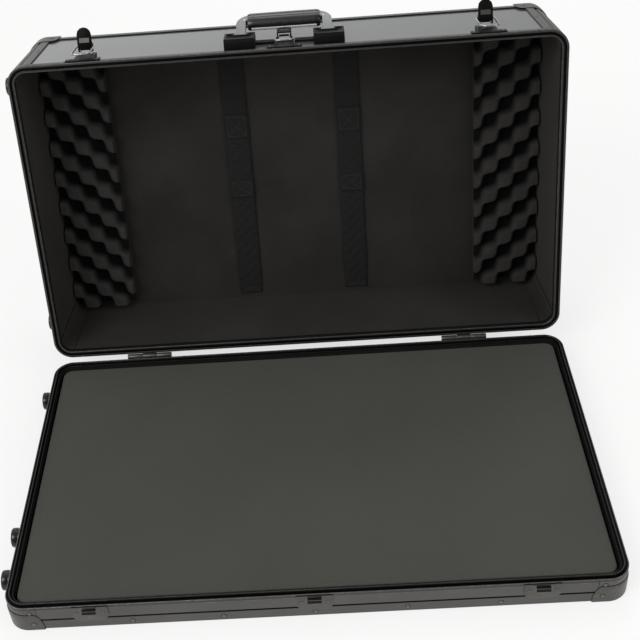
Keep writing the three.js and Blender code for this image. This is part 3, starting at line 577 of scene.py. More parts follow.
for corner, sx, sy, degrees in corner_turns:
    shape = extruded(post_outline(), post_low, post_high)
    deep = shape.verts.layers.float.new("recess_shade")
    # Painted shade: each flute's hollow is darkened by its depth.
    for vert in shape.verts:
        sunk = corner_radius - vert.co.xy.length
        if vert.co.x > 0 and vert.co.y > 0 and sunk < flute_depth * 1.2:
            vert[deep] = max(0.0, min(1.0, sunk / flute_depth))
    for face in shape.faces:
        middle = face.calc_center_median()
        hollow = math.hypot(middle.x, middle.y) < post_inner + lining_margin
        face.material_index = 1 if hollow and middle.x > 0 and middle.y > 0 else 0
    uv = shape.loops.layers.uv.new("along_rail")
    for face in shape.faces:
        for loop in face.loops:
            loop[uv].uv = (loop.vert.co.z, math.atan2(loop.vert.co.y, loop.vert.co.x) * corner_radius)
    shape.transform(lid_open @ at_corner(sx, sy, degrees))
    node = f"lid_corner_post_{corner}"
    piece = add_piece(f"{node}_extrusion", mesh_of(node, shape, smooth_angle=30), "lid", anodised, lining)
    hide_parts(node)

# Corner caps: pressed sheet steel bent round each outer corner and riveted over the rails. The free
# edge sweeps down at both ends, and is rolled so that it doesn't cut.
cap_thickness = 1.2 * MM
cap_height, cap_flat, cap_round = 29 * MM, 10 * MM, 11 * MM
cap_toe = 0.1
cap_roll, cap_roll_start = 0.81 * MM, 0.85

# The steel has a dark plated skin, smoother than the rails, with faint scuffs where the case is set
# down and fine scratches of about 2 mm.
plated, tree, shader, place = new_finish("dark_plated_steel", {"Metallic": 0.85})
cloud = add_node(tree, "ShaderNodeTexNoise", {"Vector": place, "Scale": 45.0, "Detail": 5.0})
scratch_map = add_node(tree, "ShaderNodeMapping", {
    "Vector": place, "Rotation": (0.3, 0.2, 0.7), "Scale": (60.0, 520.0, 300.0)})
scratch = add_node(tree, "ShaderNodeTexNoise", {"Vector": scratch_map, "Scale": 1.0, "Detail": 3.0})
scuffed = add_node(tree, "ShaderNodeMapRange", {
    "Value": scratch, "From Min": 0.62, "From Max": 0.75, "To Max": 0.35})
shade = skin_of(shader, cloud, "#4f4e4a", "#5f5d59", (0.36, 0.46), relief=0.06, ridges=scratch)
metal = add_node(tree, "ShaderNodeMix", {0: scuffed, 6: shade, 7: tint("#8b8a86")}, data_type="RGBA")
feed(shader, {"Base Color": metal})


def cap_shape(flipped):
    """A cap drawn round its own corner; flipped hangs it from the top of the lid."""
    stations = []
    end_steps = 10
    for sign in (-1, 1):
        leg = []
        for step in range(end_steps + 1):
            past = 1 - step / end_steps
            height = cap_height * (cap_toe * (1 - past) + (1 - cap_toe) * math.sqrt(1 - past * past))
            leg.append((cap_flat + cap_round * past, max(height, cap_thickness)))
        leg = [*leg, (cap_flat * 0.5, cap_height)]
        for away, height in leg if sign < 0 else leg[::-1]:
            if sign < 0:
                stations.append((Vector((corner_radius, -away)), Vector((1, 0)), height))
            else:
                stations.append((Vector((-away, corner_radius)), Vector((0, 1)), height))
        if sign < 0:
            for step in range(arc_steps + 1):
                angle = step / arc_steps * math.pi / 2
                outward = Vector((math.cos(angle), math.sin(angle)))
                stations.append((outward * corner_radius, outward, cap_height))
    shape = bmesh.new()
    levels = 8
    rings = []
    for foot, outward, height in stations:
        ring = []
        roll_in = min(cap_roll, height * 0.27)
        for step in range(levels + 1):
            share = step / levels
            rise = height * share
            rolled = max(0.0, share - cap_roll_start) / (1 - cap_roll_start)
            proud = fit_gap + cap_thickness - roll_in * rolled
            spot = foot + outward * proud
            ring.append(shape.verts.new((spot.x, spot.y, -rise if flipped else rise)))
        for rise in (height * 0.97, 0.0):
            spot = foot + outward * fit_gap
            ring.append(shape.verts.new((spot.x, spot.y, -rise if flipped else rise)))
        rings.append(ring)
    skinned(shape, rings)
    return shape


for corner, sx, sy, degrees in corner_turns:
    for body, height, flipped, turn in (
            ("base", 0.0, False, Matrix.Identity(4)), ("lid", lid_top, True, lid_open)):
        shape = cap_shape(flipped)
        shape.transform(turn @ at_corner(sx, sy, degrees, height))
        node = f"{body}_corner_cap_{corner}"
        piece = add_piece(f"{node}_pressing", mesh_of(node, shape, smooth_angle=50), body, plated)
        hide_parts(node)

# Foam bed: one slab of closed-cell polyethylene foam, cut to the tray and pressed in. Its skin is
# smooth and flat, its cut edge is soft, and it settles a little lower along the edge.
bed_low, bed_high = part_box("base_foam")
bed_round = corner_radius - (rim_high.x - bed_high.x)
bed_edge = 2.5 * MM

# The skin of the foam is a dull grey-green with cells of about 0.8 mm, drawn 2 mm wide here so that
# they show, and broad soft patches where things have rested on it.
bed_foam, tree, shader, place = new_finish("closed_cell_foam", {
    "Roughness": 0.85, "Specular IOR Level": 0.35, "Sheen Weight": 0.1, "Sheen Tint": tint("#a5a597")})
cloud = add_node(tree, "ShaderNodeTexNoise", {"Vector": place, "Scale": 5.0, "Detail": 3.0})
cells = add_node(tree, "ShaderNodeTexVoronoi", {"Vector": place, "Scale": 480.0})
speck = add_node(tree, "ShaderNodeMapRange", {
    "Value": cells, "From Min": 0.0, "From Max": 0.8, "To Min": 0.9, "To Max": 1.06})
shade = skin_of(shader, cloud, "#3d3d38", "#484843", relief=0.18, ridges=cells)
toned = add_node(tree, "ShaderNodeVectorMath", {0: shade, "Scale": speck}, operation="SCALE")
feed(shader, {"Base Color": toned})

bed_centre = (bed_low + bed_high) / 2
bed_half = (bed_high - bed_low) / 2
shape = bmesh.new()
bed_steps = 6
rings = []
for share in (0.0, 0.35, 0.7, 1.0):
    height = bed_low.z + (bed_high.z - bed_edge - bed_low.z) * share
    rings.append([shape.verts.new((x, y, height))
                  for x, y in rounded_outline(bed_half.x, bed_half.y, bed_round, steps=8)])
for step in range(1, bed_steps + 1):
    angle = step / bed_steps * math.pi / 2
    shrink = bed_edge * (1 - math.cos(angle))
    height = bed_high.z - bed_edge + bed_edge * math.sin(angle)
    rings.append([shape.verts.new((x, y, height)) for x, y in rounded_outline(
        bed_half.x - shrink, bed_half.y - shrink, bed_round - shrink, steps=8)])
skinned(shape, rings)
shape.transform(Matrix.Translation((bed_centre.x, bed_centre.y, 0)))
bed = add_piece("tray_foam_bed", mesh_of("tray_foam_bed", shape), "base", bed_foam)
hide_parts("base_foam")

# Feet: turned rubber drums screwed to the left end, which the closed case stands on. Each has a
# rounded rim, a shallow waist and a screw head sunk in its dish.
foot_radius, foot_height = 13.5 * MM, 14 * MM
foot_profile = [(0.0, 0.0), (1.0, 0.0), (1.0, 0.16), (0.965, 0.22), (0.955, 0.3), (0.965, 0.38), (1.0, 0.46),
                (1.0, 0.84), (0.985, 0.93), (0.93, 0.985), (0.85, 1.0), (0.5, 1.0), (0.42, 0.97),
                (0.37, 0.88), (0.37, 0.84), (0.0, 0.84)]
foot_sides = 40

# Moulded natural rubber: near black, half glossy on the rim and dusty in its hollows.
foot_rubber, tree, shader, place = new_finish("moulded_foot_rubber", {"Specular IOR Level": 0.45})
dust = add_node(tree, "ShaderNodeTexNoise", {"Vector": place, "Scale": 130.0, "Detail": 5.0})
skin_of(shader, dust, "#0b0b0b", "#171717", (0.14, 0.26), relief=0.1)


def turned(profile, radius, height, sides):
    """A profile of shares of a radius and a height, spun round Z."""
    shape = bmesh.new()
    rings = []
    for out, rise in profile:
        if out == 0:
            rings.append([shape.verts.new((0, 0, rise * height))] * sides)
        else:
            rings.append([shape.verts.new((out * radius * math.cos(2 * math.pi * side / sides),
                                           out * radius * math.sin(2 * math.pi * side / sides),
                                           rise * height)) for side in range(sides)])
    skinned(shape, rings)
    return shape


foot_outward = Matrix.Rotation(math.radians(-90), 4, "Y")
for node in ("base_foot_front", "base_foot_middle", "base_foot_back", "lid_foot_front", "lid_foot_back"):
    low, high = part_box(node)
    shape = turned(foot_profile, foot_radius, foot_height, foot_sides)
    shape.transform(Matrix.Translation((high.x, (low.y + high.y) / 2, (low.z + high.z) / 2)) @ foot_outward)
    piece = add_piece(f"{node}_rubber", mesh_of(node, shape), node.split("_")[0], foot_rubber)
    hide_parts(node)

# Egg-crate foam: two blocks of open-cell polyurethane glued to the lid's ceiling at its ends. The
# convoluted face swells and sinks in a chequer of pegs, whose valleys join along one diagonal, and
# the sides are cut straight.
crate_wide, crate_end_gap, crate_side_gap = 100 * MM, 12.1 * MM, 2 * MM
crate_middle, crate_swing, crate_period = 23 * MM, 10 * MM, 50 * MM
crate_steepness = 4.2
crate_lean = 0.2
crate_half_long = half_depth - panel_inset - wall_thickness - crate_end_gap
crate_x = half_width - rail_width - crate_side_gap - crate_wide / 2
crate_top = ceiling_bottom - fit_gap
crate_columns, crate_rows = 56, 250
crate_uneven, crate_patch = 0.5 * MM, 14 * MM

# Open cells of about 1 mm take in nearly all light. The crowns of the pegs keep the foam's grey, and
# the valleys between them are darkened to near black as painted shade.
crate_foam, tree, shader, place = new_finish("open_cell_foam", {
    "Roughness": 1.0, "Specular IOR Level": 0.1, "Sheen Weight": 0.25, "Sheen Roughness": 0.6,
    "Sheen Tint": tint("#7d7a78")})
cells = add_node(tree, "ShaderNodeTexVoronoi", {"Vector": place, "Scale": 700.0})
cloud = add_node(tree, "ShaderNodeTexNoise", {"Vector": place, "Scale": 60.0, "Detail": 5.0})
shade = skin_of(shader, cloud, "#2a2928", "#3c3b39", relief=0.6, ridges=cells)
# Painted shade: the crown share darkens the valleys towards black.
crown = add_node(tree, "ShaderNodeAttribute", attribute_name="crown")
toned = add_node(tree, "ShaderNodeMix", {
    0: crown.outputs["Fac"], 6: tint("#060606"), 7: shade}, data_type="RGBA")
feed(shader, {"Base Color": toned})

for side, sign in (("left", -1), ("right", 1)):
    shape = bmesh.new()
    crown = shape.verts.layers.float.new("crown")
    rings = []
    for row in range(crate_rows + 1):
        y = (row / crate_rows - 0.5) * 2 * crate_half_long
        along = 2 * math.pi * (y + crate_half_long) / crate_period
        ring = []
        for column in range(crate_columns + 1):
            x = (column / crate_columns - 0.5) * crate_wide
            across = 2 * math.pi * (x + crate_wide / 2) / crate_period
            wave = ((1 + sign * crate_lean) * math.cos(across + along)
                    + (1 - sign * crate_lean) * math.cos(across - along)) / 2
            peg = math.tanh(crate_steepness * wave) / math.tanh(crate_steepness)
            rough = noise.noise(Vector((x, y, sign)) / crate_patch) * crate_uneven
            drop = crate_middle + crate_swing * peg + rough
            ring.append(shape.verts.new((sign * crate_x + x, y, crate_top - drop)))
            ring[-1][crown] = max(0.0, min(1.0, 0.5 + 0.8 * peg))
        for end in (0.5, -0.5):
            ring.append(shape.verts.new((sign * crate_x + end * crate_wide, y, crate_top)))
        rings.append(ring)
    skinned(shape, rings)
    shape.transform(lid_open)
    node = f"lid_eggcrate_foam_{side}"
    piece = add_piece(f"eggcrate_foam_block_{side}", mesh_of(node, shape, smooth_angle=55), "lid", crate_foam)
    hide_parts(node)

# Straps: flat polyester webbing across the ceiling, front to back, sewn down at both ends. Each has
# two sewn overlaps, where the tape is doubled, and stands a few millimetres off the lining between.
strap_x, strap_wide, strap_thick, strap_end_gap = 90 * MM, 37 * MM, 1.6 * MM, 7.1 * MM
strap_half = half_depth - panel_inset - wall_thickness - strap_end_gap
strap_stand, strap_wave = 3.5 * MM, 31 * MM
fold_places = ((-0.44, -0.26), (0.06, 0.2))
fold_thick, fold_gap, fold_shift = strap_thick * 0.9, 0.15 * MM, 0.4 * MM
strap_rows, fold_rows = 120, 24
weave_rib = 2.2 * MM

# Webbing: ribs run across the tape, 2.2 mm apart here so that they show, with two raised cords near
# the edges. Worn crowns of the ribs catch a little light.
webbing, tree, shader = new_finish("black_polyester_webbing", {
    "Roughness": 0.72, "Specular IOR Level": 0.35, "Sheen Weight": 0.2, "Sheen Roughness": 0.4,
    "Sheen Tint": tint("#8b8a88")})[:3]
run = add_node(tree, "ShaderNodeUVMap", uv_map="along_tape").outputs["UV"]
ribs = add_node(tree, "ShaderNodeTexWave", {
    "Vector": run, "Scale": 1 / weave_rib / 20 * math.pi * 2, "Distortion": 0.6, "Detail": 2.0},
    wave_type="BANDS", bands_direction="X")
twill = add_node(tree, "ShaderNodeTexWave", {
    "Vector": run, "Scale": 34.0, "Distortion": 0.0}, wave_type="BANDS", bands_direction="DIAGONAL")
knit = add_node(tree, "ShaderNodeMath", {0: ribs.outputs["Fac"], 1: twill.outputs["Fac"]}, operation="ADD")
skin_of(shader, ribs.outputs["Fac"], "#080808", "#161615", relief=0.5, ridges=knit)


def tape(shape, uv, x, start, end, lift, thick, rows):
    """A length of webbing on the ceiling from one place along Y to another."""
    across = ((-0.5, 0.5), (-0.47, 0.08), (-0.4, 0.0), (0.4, 0.0), (0.47, 0.08), (0.5, 0.5), (0.47, 0.92),
              (0.4, 1.0), (-0.4, 1.0), (-0.47, 0.92))
    rings, spots = [], {}
    for row in range(rows + 1):
        y = start + (end - start) * row / rows
        top = crate_top - lift(y)
        ring = []
        for share, depth in across:
            vert = shape.verts.new((x + share * strap_wide, y, top - depth * thick))
            spots[vert] = (y, share * strap_wide)
            ring.append(vert)
        rings.append(ring)
    for face in skinned(shape, rings):
        for loop in face.loops:
            loop[uv].uv = spots[loop.vert]


def strap_lift(y):
    """How far the strap stands off the ceiling at a place along it."""
    share = abs(y) / strap_half
    bow = strap_stand * max(0.0, 1 - share ** 6)
    return bow * (0.85 + 0.15 * math.cos(y / strap_wave))


for side, sign in (("left", -1), ("right", 1)):
    shape = bmesh.new()
    uv = shape.loops.layers.uv.new("along_tape")
    tape(shape, uv, sign * strap_x, -strap_half, strap_half, strap_lift, strap_thick, strap_rows)
    for start, end in fold_places:
        tape(shape, uv, sign * strap_x + fold_shift, start * strap_half, end * strap_half,
             lambda y: strap_lift(y) + strap_thick + fold_gap, fold_thick, fold_rows)
    shape.transform(lid_open)
    node = f"lid_strap_{side}"
    piece = add_piece(f"webbing_strap_{side}", mesh_of(node, shape, smooth_angle=60), "lid", webbing)
    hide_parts(node)

# Stitches: heavy bonded thread that holds each overlap in a box with a cross, and each strap's ends
# in two rows. Geometry Nodes lay one short stitch on every point of the seams.
stitch_pitch, stitch_long, stitch_radius = 4.2 * MM, 3.2 * MM, 0.45 * MM
seam_inset, end_seams = 4 * MM, (5 * MM, 9 * MM)

thread, tree, shader, place = new_finish("bonded_nylon_thread", {
    "Roughness": 0.5, "Specular IOR Level": 0.5, "Sheen Weight": 0.2, "Sheen Tint": tint("#9a9a9a")})
twist = add_node(tree, "ShaderNodeTexNoise", {"Vector": place, "Scale": 900.0, "Detail": 2.0})
skin_of(shader, twist, "#1c1c1b", "#302f2e")


def balls_on_points(name, finish, sides, rows, along=False):
    """A Geometry Nodes tree that sets a ball on every point, with its Radius, Length and Rise as inputs.

    The ball is flat towards the way it faces, and along says whether it also lies along the seam.
    """
    tree = bpy.data.node_groups.new(name, "GeometryNodeTree")
    tree.interface.new_socket("Geometry", in_out="INPUT", socket_type="NodeSocketGeometry")
    for label in ("Radius", "Length", "Rise"):
        tree.interface.new_socket(label, in_out="INPUT", socket_type="NodeSocketFloat")
    tree.interface.new_socket("Geometry", in_out="OUTPUT", socket_type="NodeSocketGeometry")
    points = add_node(tree, "NodeGroupInput")
    ball = add_node(tree, "GeometryNodeMeshUVSphere", {
        "Segments": sides, "Rings": rows, "Radius": points.outputs["Radius"]})
    long_share = add_node(tree, "ShaderNodeMath", {
        0: points.outputs["Length"], 1: points.outputs["Radius"]}, operation="DIVIDE")
    high_share = add_node(tree, "ShaderNodeMath", {
        0: points.outputs["Rise"], 1: points.outputs["Radius"]}, operation="DIVIDE")
    stretch = add_node(tree, "ShaderNodeCombineXYZ", {"X": long_share, "Y": 1.0, "Z": high_share})
    form = add_node(tree, "GeometryNodeTransform", {"Geometry": ball, "Scale": stretch})
    facing = add_node(tree, "GeometryNodeInputNamedAttribute", {"Name": "facing"}, data_type="FLOAT_VECTOR")
    turn = add_node(tree, "FunctionNodeAlignRotationToVector", {"Vector": facing}, axis="Z")
    if along:
        lying = add_node(tree, "GeometryNodeInputNamedAttribute", {
            "Name": "lying"}, data_type="FLOAT_VECTOR")
        turn = add_node(tree, "FunctionNodeAlignRotationToVector", {
            "Rotation": turn, "Vector": lying},
            axis="X", pivot_axis="Z")
    laid = add_node(tree, "GeometryNodeInstanceOnPoints", {
        "Points": points.outputs["Geometry"], "Instance": form,
        "Rotation": turn})
    real = add_node(tree, "GeometryNodeRealizeInstances", {"Geometry": laid})
    smooth = add_node(tree, "GeometryNodeSetShadeSmooth", {"Geometry": real})
    plain = add_node(tree, "GeometryNodeSetMaterial", {"Geometry": smooth, "Material": finish})
    add_node(tree, "NodeGroupOutput", {"Geometry": plain})
    return tree


def laid_out(name, tree, spots, sizes, body):
    """Runs a tree over points, each with the way it faces and the way it lies, and keeps the mesh."""
    mesh = bpy.data.meshes.new(name)
    mesh.from_pydata([spot[0] for spot in spots], [], [])
    for label, place in (("facing", 1), ("lying", 2)):
        values = mesh.attributes.new(label, "FLOAT_VECTOR", "POINT")
        values.data.foreach_set("vector", [number for spot in spots for number in spot[place]])
    holder = bpy.data.objects.new(name, mesh)
    bpy.context.scene.collection.objects.link(holder)
    modifier = holder.modifiers.new("laid_out", "NODES")
    modifier.node_group = tree
    for item in tree.interface.items_tree:
        if item.in_out == "INPUT" and item.name in sizes:
            modifier[item.identifier] = sizes[item.name]
    bpy.context.view_layer.update()
    depsgraph = bpy.context.evaluated_depsgraph_get()
    made = bpy.data.meshes.new_from_object(holder.evaluated_get(depsgraph), depsgraph=depsgraph)
    bpy.data.objects.remove(holder)
    piece = add_piece(name, made, body)
    return piece


stitch_tree = balls_on_points("stitches_on_points", thread, sides=8, rows=5, along=True)
stitches = []
lid_turn = lid_open.to_3x3()


def sew(start, end, depth):
    """Adds a row of stitches between two (x, y) places on the straps."""
    way = Vector(end) - Vector(start)
    count = max(1, round(way.length / stitch_pitch))
    for step in range(count):
        spot = Vector(start) + way * ((step + 0.5) / count)
        drop = strap_lift(spot.y) + depth
        stitches.append((lid_open @ Vector((spot.x, spot.y, crate_top - drop)),
                         lid_turn @ Vector((0, 0, -1)), lid_turn @ Vector((way.x, way.y, 0)).normalized()))


fold_depth = strap_thick + fold_thick + fold_gap
for sign in (-1, 1):
    left = sign * strap_x - strap_wide / 2 + seam_inset
    right = sign * strap_x + strap_wide / 2 - seam_inset
    for start, end in fold_places:
        low, high = start * strap_half + seam_inset, end * strap_half - seam_inset
        for row in (((left, low), (right, low)), ((right, low), (right, high)), ((right, high), (left, high)),
                    ((left, high), (left, low)), ((left, low), (right, high)), ((left, high), (right, low))):
            sew(*row, fold_depth)
    for end in (-1, 1):
        for back in end_seams:
            y = end * (strap_half - back)
            sew((left, y), (right, y), strap_thick)
laid_out("strap_stitches", stitch_tree, stitches,
         {"Radius": stitch_radius, "Length": stitch_long / 2, "Rise": stitch_radius * 0.7}, "lid")

# Pressed hardware: the catch plates, latch plates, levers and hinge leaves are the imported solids
# with their triangles joined and their edges eased, as deburred sheet metal has.
plate_ease, lever_ease, leaf_ease = 0.4 * MM, 0.5 * MM, 0.35 * MM
weld_reach, flat_angle = 0.001 * MM, 1


def eased(shape, width, segments=2, sharpest=35):
    """Rounds every edge that is sharper than the angle."""
    edges = [edge for edge in shape.edges
             if edge.is_manifold and edge.calc_face_angle() > math.radians(sharpest)]
    bmesh.ops.bevel(shape, geom=edges, offset=width, segments=segments, profile=0.5,
                    affect="EDGES", clamp_overlap=True)
    bmesh.ops.recalc_face_normals(shape, faces=shape.faces)
    return shape


def eased_copy(node, width, segments=2, sharpest=35):
    """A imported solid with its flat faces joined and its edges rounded."""
    shape = bmesh.new()
    shape.from_mesh(frame["nodes"][node].data)
    bmesh.ops.remove_doubles(shape, verts=shape.verts, dist=weld_reach)
    bmesh.ops.dissolve_limit(shape, angle_limit=math.radians(flat_angle),
                             verts=shape.verts, edges=shape.edges)
    return eased(shape, width, segments, sharpest)


def weld_on(shape, extra):
    """Adds a small form to a pressing's shape."""
    carried = mesh_of("small_form", extra)
    shape.from_mesh(carried)
    bpy.data.meshes.remove(carried)


# Black enamel, baked on: deep black with a soft gloss, an orange-peel ripple of about 1.5 mm, and
# tiny chips of bare steel that show as pale specks.
enamel, tree, shader, place = new_finish("baked_black_enamel", {"Specular IOR Level": 0.1})
peel = add_node(tree, "ShaderNodeTexNoise", {"Vector": place, "Scale": 650.0, "Detail": 2.0})
chips = add_node(tree, "ShaderNodeTexNoise", {"Vector": place, "Scale": 420.0, "Detail": 5.0})
chipped = add_node(tree, "ShaderNodeMapRange", {
    "Value": chips, "From Min": 0.7, "From Max": 0.78, "To Max": 0.6})
skin_of(shader, chipped, "#0a0a0b", "#6a6b6c", (0.4, 0.55), chips, relief=0.08, ridges=peel)

# Nickel plate on the latches' ears and on wire: a mirror skin, broken only by faint drawing marks.
nickel, tree, shader, place = new_finish("nickel_plated_wire", {"Metallic": 1.0})
drawn = add_node(tree, "ShaderNodeTexNoise", {"Vector": place, "Scale": 260.0, "Detail": 4.0})
skin_of(shader, drawn, "#8d8d8c", "#c2c2c0", (0.14, 0.28))

# A ridge for the finger is pressed across each lever, in plated steel: a painted highlight where the bend
# catches light.
latch_sides = ("left", "centre", "right")
lever_face, ridge_rise, ridge_brow = 5 * MM, 2 * MM, 1 * MM
ridge_foot, ridge_end, ridge_half = 9.5 * MM, 16 * MM, 7.2 * MM
lever_raised = {"left": 80, "centre": 0, "right": 80}
ear_start = 5 * MM
wall_outward = lid_turn @ Vector((0, -1, 0))
drawn_across = Matrix(((0, 0, 1, 0), (1, 0, 0, 0), (0, 1, 0, 0), (0, 0, 0, 1)))
for side in latch_sides:
    for node, body, width in ((f"latch_plate_{side}", "lid", plate_ease),
                              (f"latch_lever_{side}", f"lever_{side}", lever_ease)):
        shape = eased_copy(node, width)
        foot = min(vert.co.dot(wall_outward) for vert in shape.verts)
        for face in shape.faces:
            proud = face.calc_center_median().dot(wall_outward) - foot
            face.material_index = 1 if body == "lid" and proud > ear_start else 0
        if body != "lid":
            ridge = extruded([(-lever_face - ridge_rise, ridge_foot), (-lever_face, ridge_foot - ridge_brow),
                              (-lever_face, ridge_end)], -ridge_half, ridge_half)
            # The ridge's plated steel is a painted highlight on the black lever.
            for face in ridge.faces:
                face.material_index = 2
            pivot = Matrix.Translation(joints[f"latch_lever_{side}_turn"]["pos_m"])
            raised = Matrix.Rotation(math.radians(lever_raised[side]), 4, "X")
            ridge.transform(pivot @ lid_turn.to_4x4() @ raised @ drawn_across)
            weld_on(shape, ridge)
        piece = add_piece(f"{node}_pressing", mesh_of(node, shape), body, enamel, nickel, plated)
        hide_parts(node)
for side in ("left", "right"):
    for half, body in (("base", "base"), ("lid", "lid")):
        node = f"hinge_leaf_{half}_{side}"
        piece = add_piece(f"{node}_pressing", mesh_of(node, eased_copy(node, leaf_ease)), body, plated)
        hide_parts(node)

# Bright wire: nickel-plated steel, bent cold into the latch loops, which turn in the levers' cheeks,
# and cut for the hinge pins, which are headed at both ends.
wire_radius = 1.25 * MM
loop_half, loop_drop, loop_corner = 12.6 * MM, 54.5 * MM, 9 * MM
loop_inner, small_bend = 9.2 * MM, 2.5 * MM
centre_tilt = 9
wire_sides, pin_sides = 14, 20
pin_head = 0.4 * MM


def wire(shape, path, radius, sides):
    """A round wire led along points, with flat ends."""
    rings = []
    across = Vector((0, 1, 0))
    for index, point in enumerate(path):
        way = (path[min(index + 1, len(path) - 1)] - path[max(index - 1, 0)]).normalized()
        sideways = across.cross(way).normalized()
        turns = [2 * math.pi * side / sides for side in range(sides)]
        rings.append([shape.verts.new(point + (across * math.cos(turn) + sideways * math.sin(turn)) * radius)
                      for turn in turns])
    skinned(shape, rings)


def bent_path(corners, radii, steps=10):
    """A path through corner points, each rounded by its radius."""
    path = [corners[0]]
    for index in range(1, len(corners) - 1):
        corner = corners[index]
        start = corner + (corners[index - 1] - corner).normalized() * radii[index]
        end = corner + (corners[index + 1] - corner).normalized() * radii[index]
        for step in range(steps + 1):
            share = step / steps
            path.append(start.lerp(corner, share).lerp(corner.lerp(end, share), share))
    return [*path, corners[-1]]


for side in latch_sides:
    corners = [Vector(point) for point in (
        (loop_inner, 0, 0), (loop_half, 0, 0), (loop_half, 0, -loop_drop),
        (-loop_half, 0, -loop_drop), (-loop_half, 0, 0), (-loop_inner, 0, 0))]
    shape = bmesh.new()
    wire(shape, bent_path(corners, (0, small_bend, loop_corner, loop_corner, small_bend, 0)),
         wire_radius, wire_sides)
    tilt = centre_tilt if side == "centre" else 0
    pivot = Matrix.Translation(joints[f"latch_loop_{side}_turn"]["pos_m"])
    shape.transform(pivot @ lid_turn.to_4x4() @ Matrix.Rotation(math.radians(-tilt), 4, "X"))
    node = f"latch_loop_{side}"
    piece = add_piece(f"{node}_wire", mesh_of(node, shape, smooth_angle=60), f"loop_{side}", nickel)
    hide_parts(node)

for side in ("left", "right"):
    low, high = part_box(f"hinge_pin_{side}")
    pin_radius = (high.z - low.z) / 2
    shape = bmesh.new()
    middle = (low + high) / 2
    stops = (low.x, low.x + pin_head, high.x - pin_head, high.x)
    wire(shape, [Vector((x, middle.y, middle.z)) for x in stops], pin_radius, pin_sides)
    rod = mesh_of("hinge_pin", eased(shape, pin_head, sharpest=60))
    piece = add_piece(f"hinge_pin_{side}_rod", rod, "base", nickel)
    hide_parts(f"hinge_pin_{side}")

# Catch plates: each has a black hook that the loop pulls on, a half-round boss pressed under it, and
# two tabs folded over the plate's top edge. The hook's black also stands for the shade round it, as
# painted shade, and a bead of plated steel along each long edge of the hook is a painted highlight.
catch_drop, catch_ease = 2 * MM, 0.35 * MM
catch_front, catch_top = -half_depth - fit_gap - cap_thickness, rim_top - catch_drop
hook_start, hook_edges = 0.3 * MM, (2 * MM, 8 * MM)
hook_reach, hook_half, hook_bead = 5 * MM, 9 * MM, 0.6 * MM
boss_profile = [(0.0, 0.0), (1.0, 0.0), (0.94, 0.35), (0.77, 0.64), (0.5, 0.87), (0.26, 0.97), (0.0, 1.0)]
boss_radius, boss_rise, boss_drop, boss_sides = 7 * MM, 1.1 * MM, 4 * MM, 28
tab_in, tab_wide, tab_tall, tab_thick = 15 * MM, 6.5 * MM, 1.9 * MM, 0.5 * MM

for side in latch_sides:
    node = f"catch_plate_{side}"
    low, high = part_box(node)
    x = (low.x + high.x) / 2
    shape = eased_copy(node, catch_ease)
    # Painted shade, in part: the hook's faces are black enamel.
    for face in shape.faces:
        if catch_front - face.calc_center_median().y > hook_start:
            face.material_index = 1
    boss = turned(boss_profile, boss_radius, boss_rise, boss_sides)
    boss.transform(Matrix.Translation((x, catch_front, catch_top - boss_radius - boss_drop))
                   @ Matrix.Rotation(math.radians(90), 4, "X"))
    extras = [boss]
    for sign in (-1, 1):
        left, right = sorted((x + sign * tab_in, x + sign * (tab_in + tab_wide)))
        extras.append(extruded(rectangle(left, right, catch_front - tab_thick, catch_front),
                               catch_top - tab_tall, catch_top + tab_thick))
    # Painted highlights: a plated bead along each long edge of the hook.
    front = catch_front - hook_reach
    edge = rectangle(x - hook_half, x + hook_half, front - hook_bead / 2, front + hook_bead / 2)
    for drop in hook_edges:
        extras.append(extruded(edge, catch_top - drop - hook_bead / 2, catch_top - drop + hook_bead / 2))
    for extra in extras:
        weld_on(shape, extra)
    piece = add_piece(f"{node}_pressing", mesh_of(node, shape), "base", plated, enamel)
    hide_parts(node)

# Handle: two moulded nylon posts, a bow of flat bar that swings in them, and a ribbed rubber grip
# pressed over the bow's cross bar. It rests on its stop a little raised from the wall.
nylon, tree, shader, place = new_finish("moulded_black_nylon", {"Specular IOR Level": 0.1})
leather = add_node(tree, "ShaderNodeTexVoronoi", {"Vector": place, "Scale": 520.0})
cloud = add_node(tree, "ShaderNodeTexNoise", {"Vector": place, "Scale": 90.0, "Detail": 4.0})
skin_of(shader, cloud, "#070708", "#101112", (0.46, 0.6), relief=0.15, ridges=leather)

# The bow is aluminium bar with a fine matt blast, so it is an even pale grey.
blasted, tree, shader, place = new_finish("blasted_aluminium_bar", {"Metallic": 0.8})
grit = add_node(tree, "ShaderNodeTexNoise", {"Vector": place, "Scale": 800.0, "Detail": 3.0})
cloud = add_node(tree, "ShaderNodeTexNoise", {"Vector": place, "Scale": 50.0, "Detail": 3.0})
skin_of(shader, cloud, "#6f7070", "#828383", (0.34, 0.48), grit, relief=0.08, ridges=grit)

post_ease, bow_ease = 1.6 * MM, 1.1 * MM
slot_wall, slot_slope, slot_depth = 4.5 * MM, 0.4 * MM, 1.8 * MM
for side in ("left", "right"):
    node = f"handle_post_{side}"
    shape = eased_copy(node, post_ease, segments=3, sharpest=25)
    crown = max((face for face in shape.faces if face.normal.dot(wall_outward) > 0.99),
                key=lambda face: face.calc_center_median().dot(wall_outward) + face.calc_area())
    bmesh.ops.inset_individual(shape, faces=[crown], thickness=slot_wall)
    bmesh.ops.inset_individual(shape, faces=[crown], thickness=slot_slope, depth=-slot_depth)
    bmesh.ops.recalc_face_normals(shape, faces=shape.faces)
    piece = add_piece(f"{node}_moulding", mesh_of(node, shape), "lid", nylon)
    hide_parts(node)
bar = mesh_of("handle_bow", eased_copy("handle_bow", bow_ease, segments=3))
bow = add_piece("handle_bow_bar", bar, "handle", blasted)
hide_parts("handle_bow")

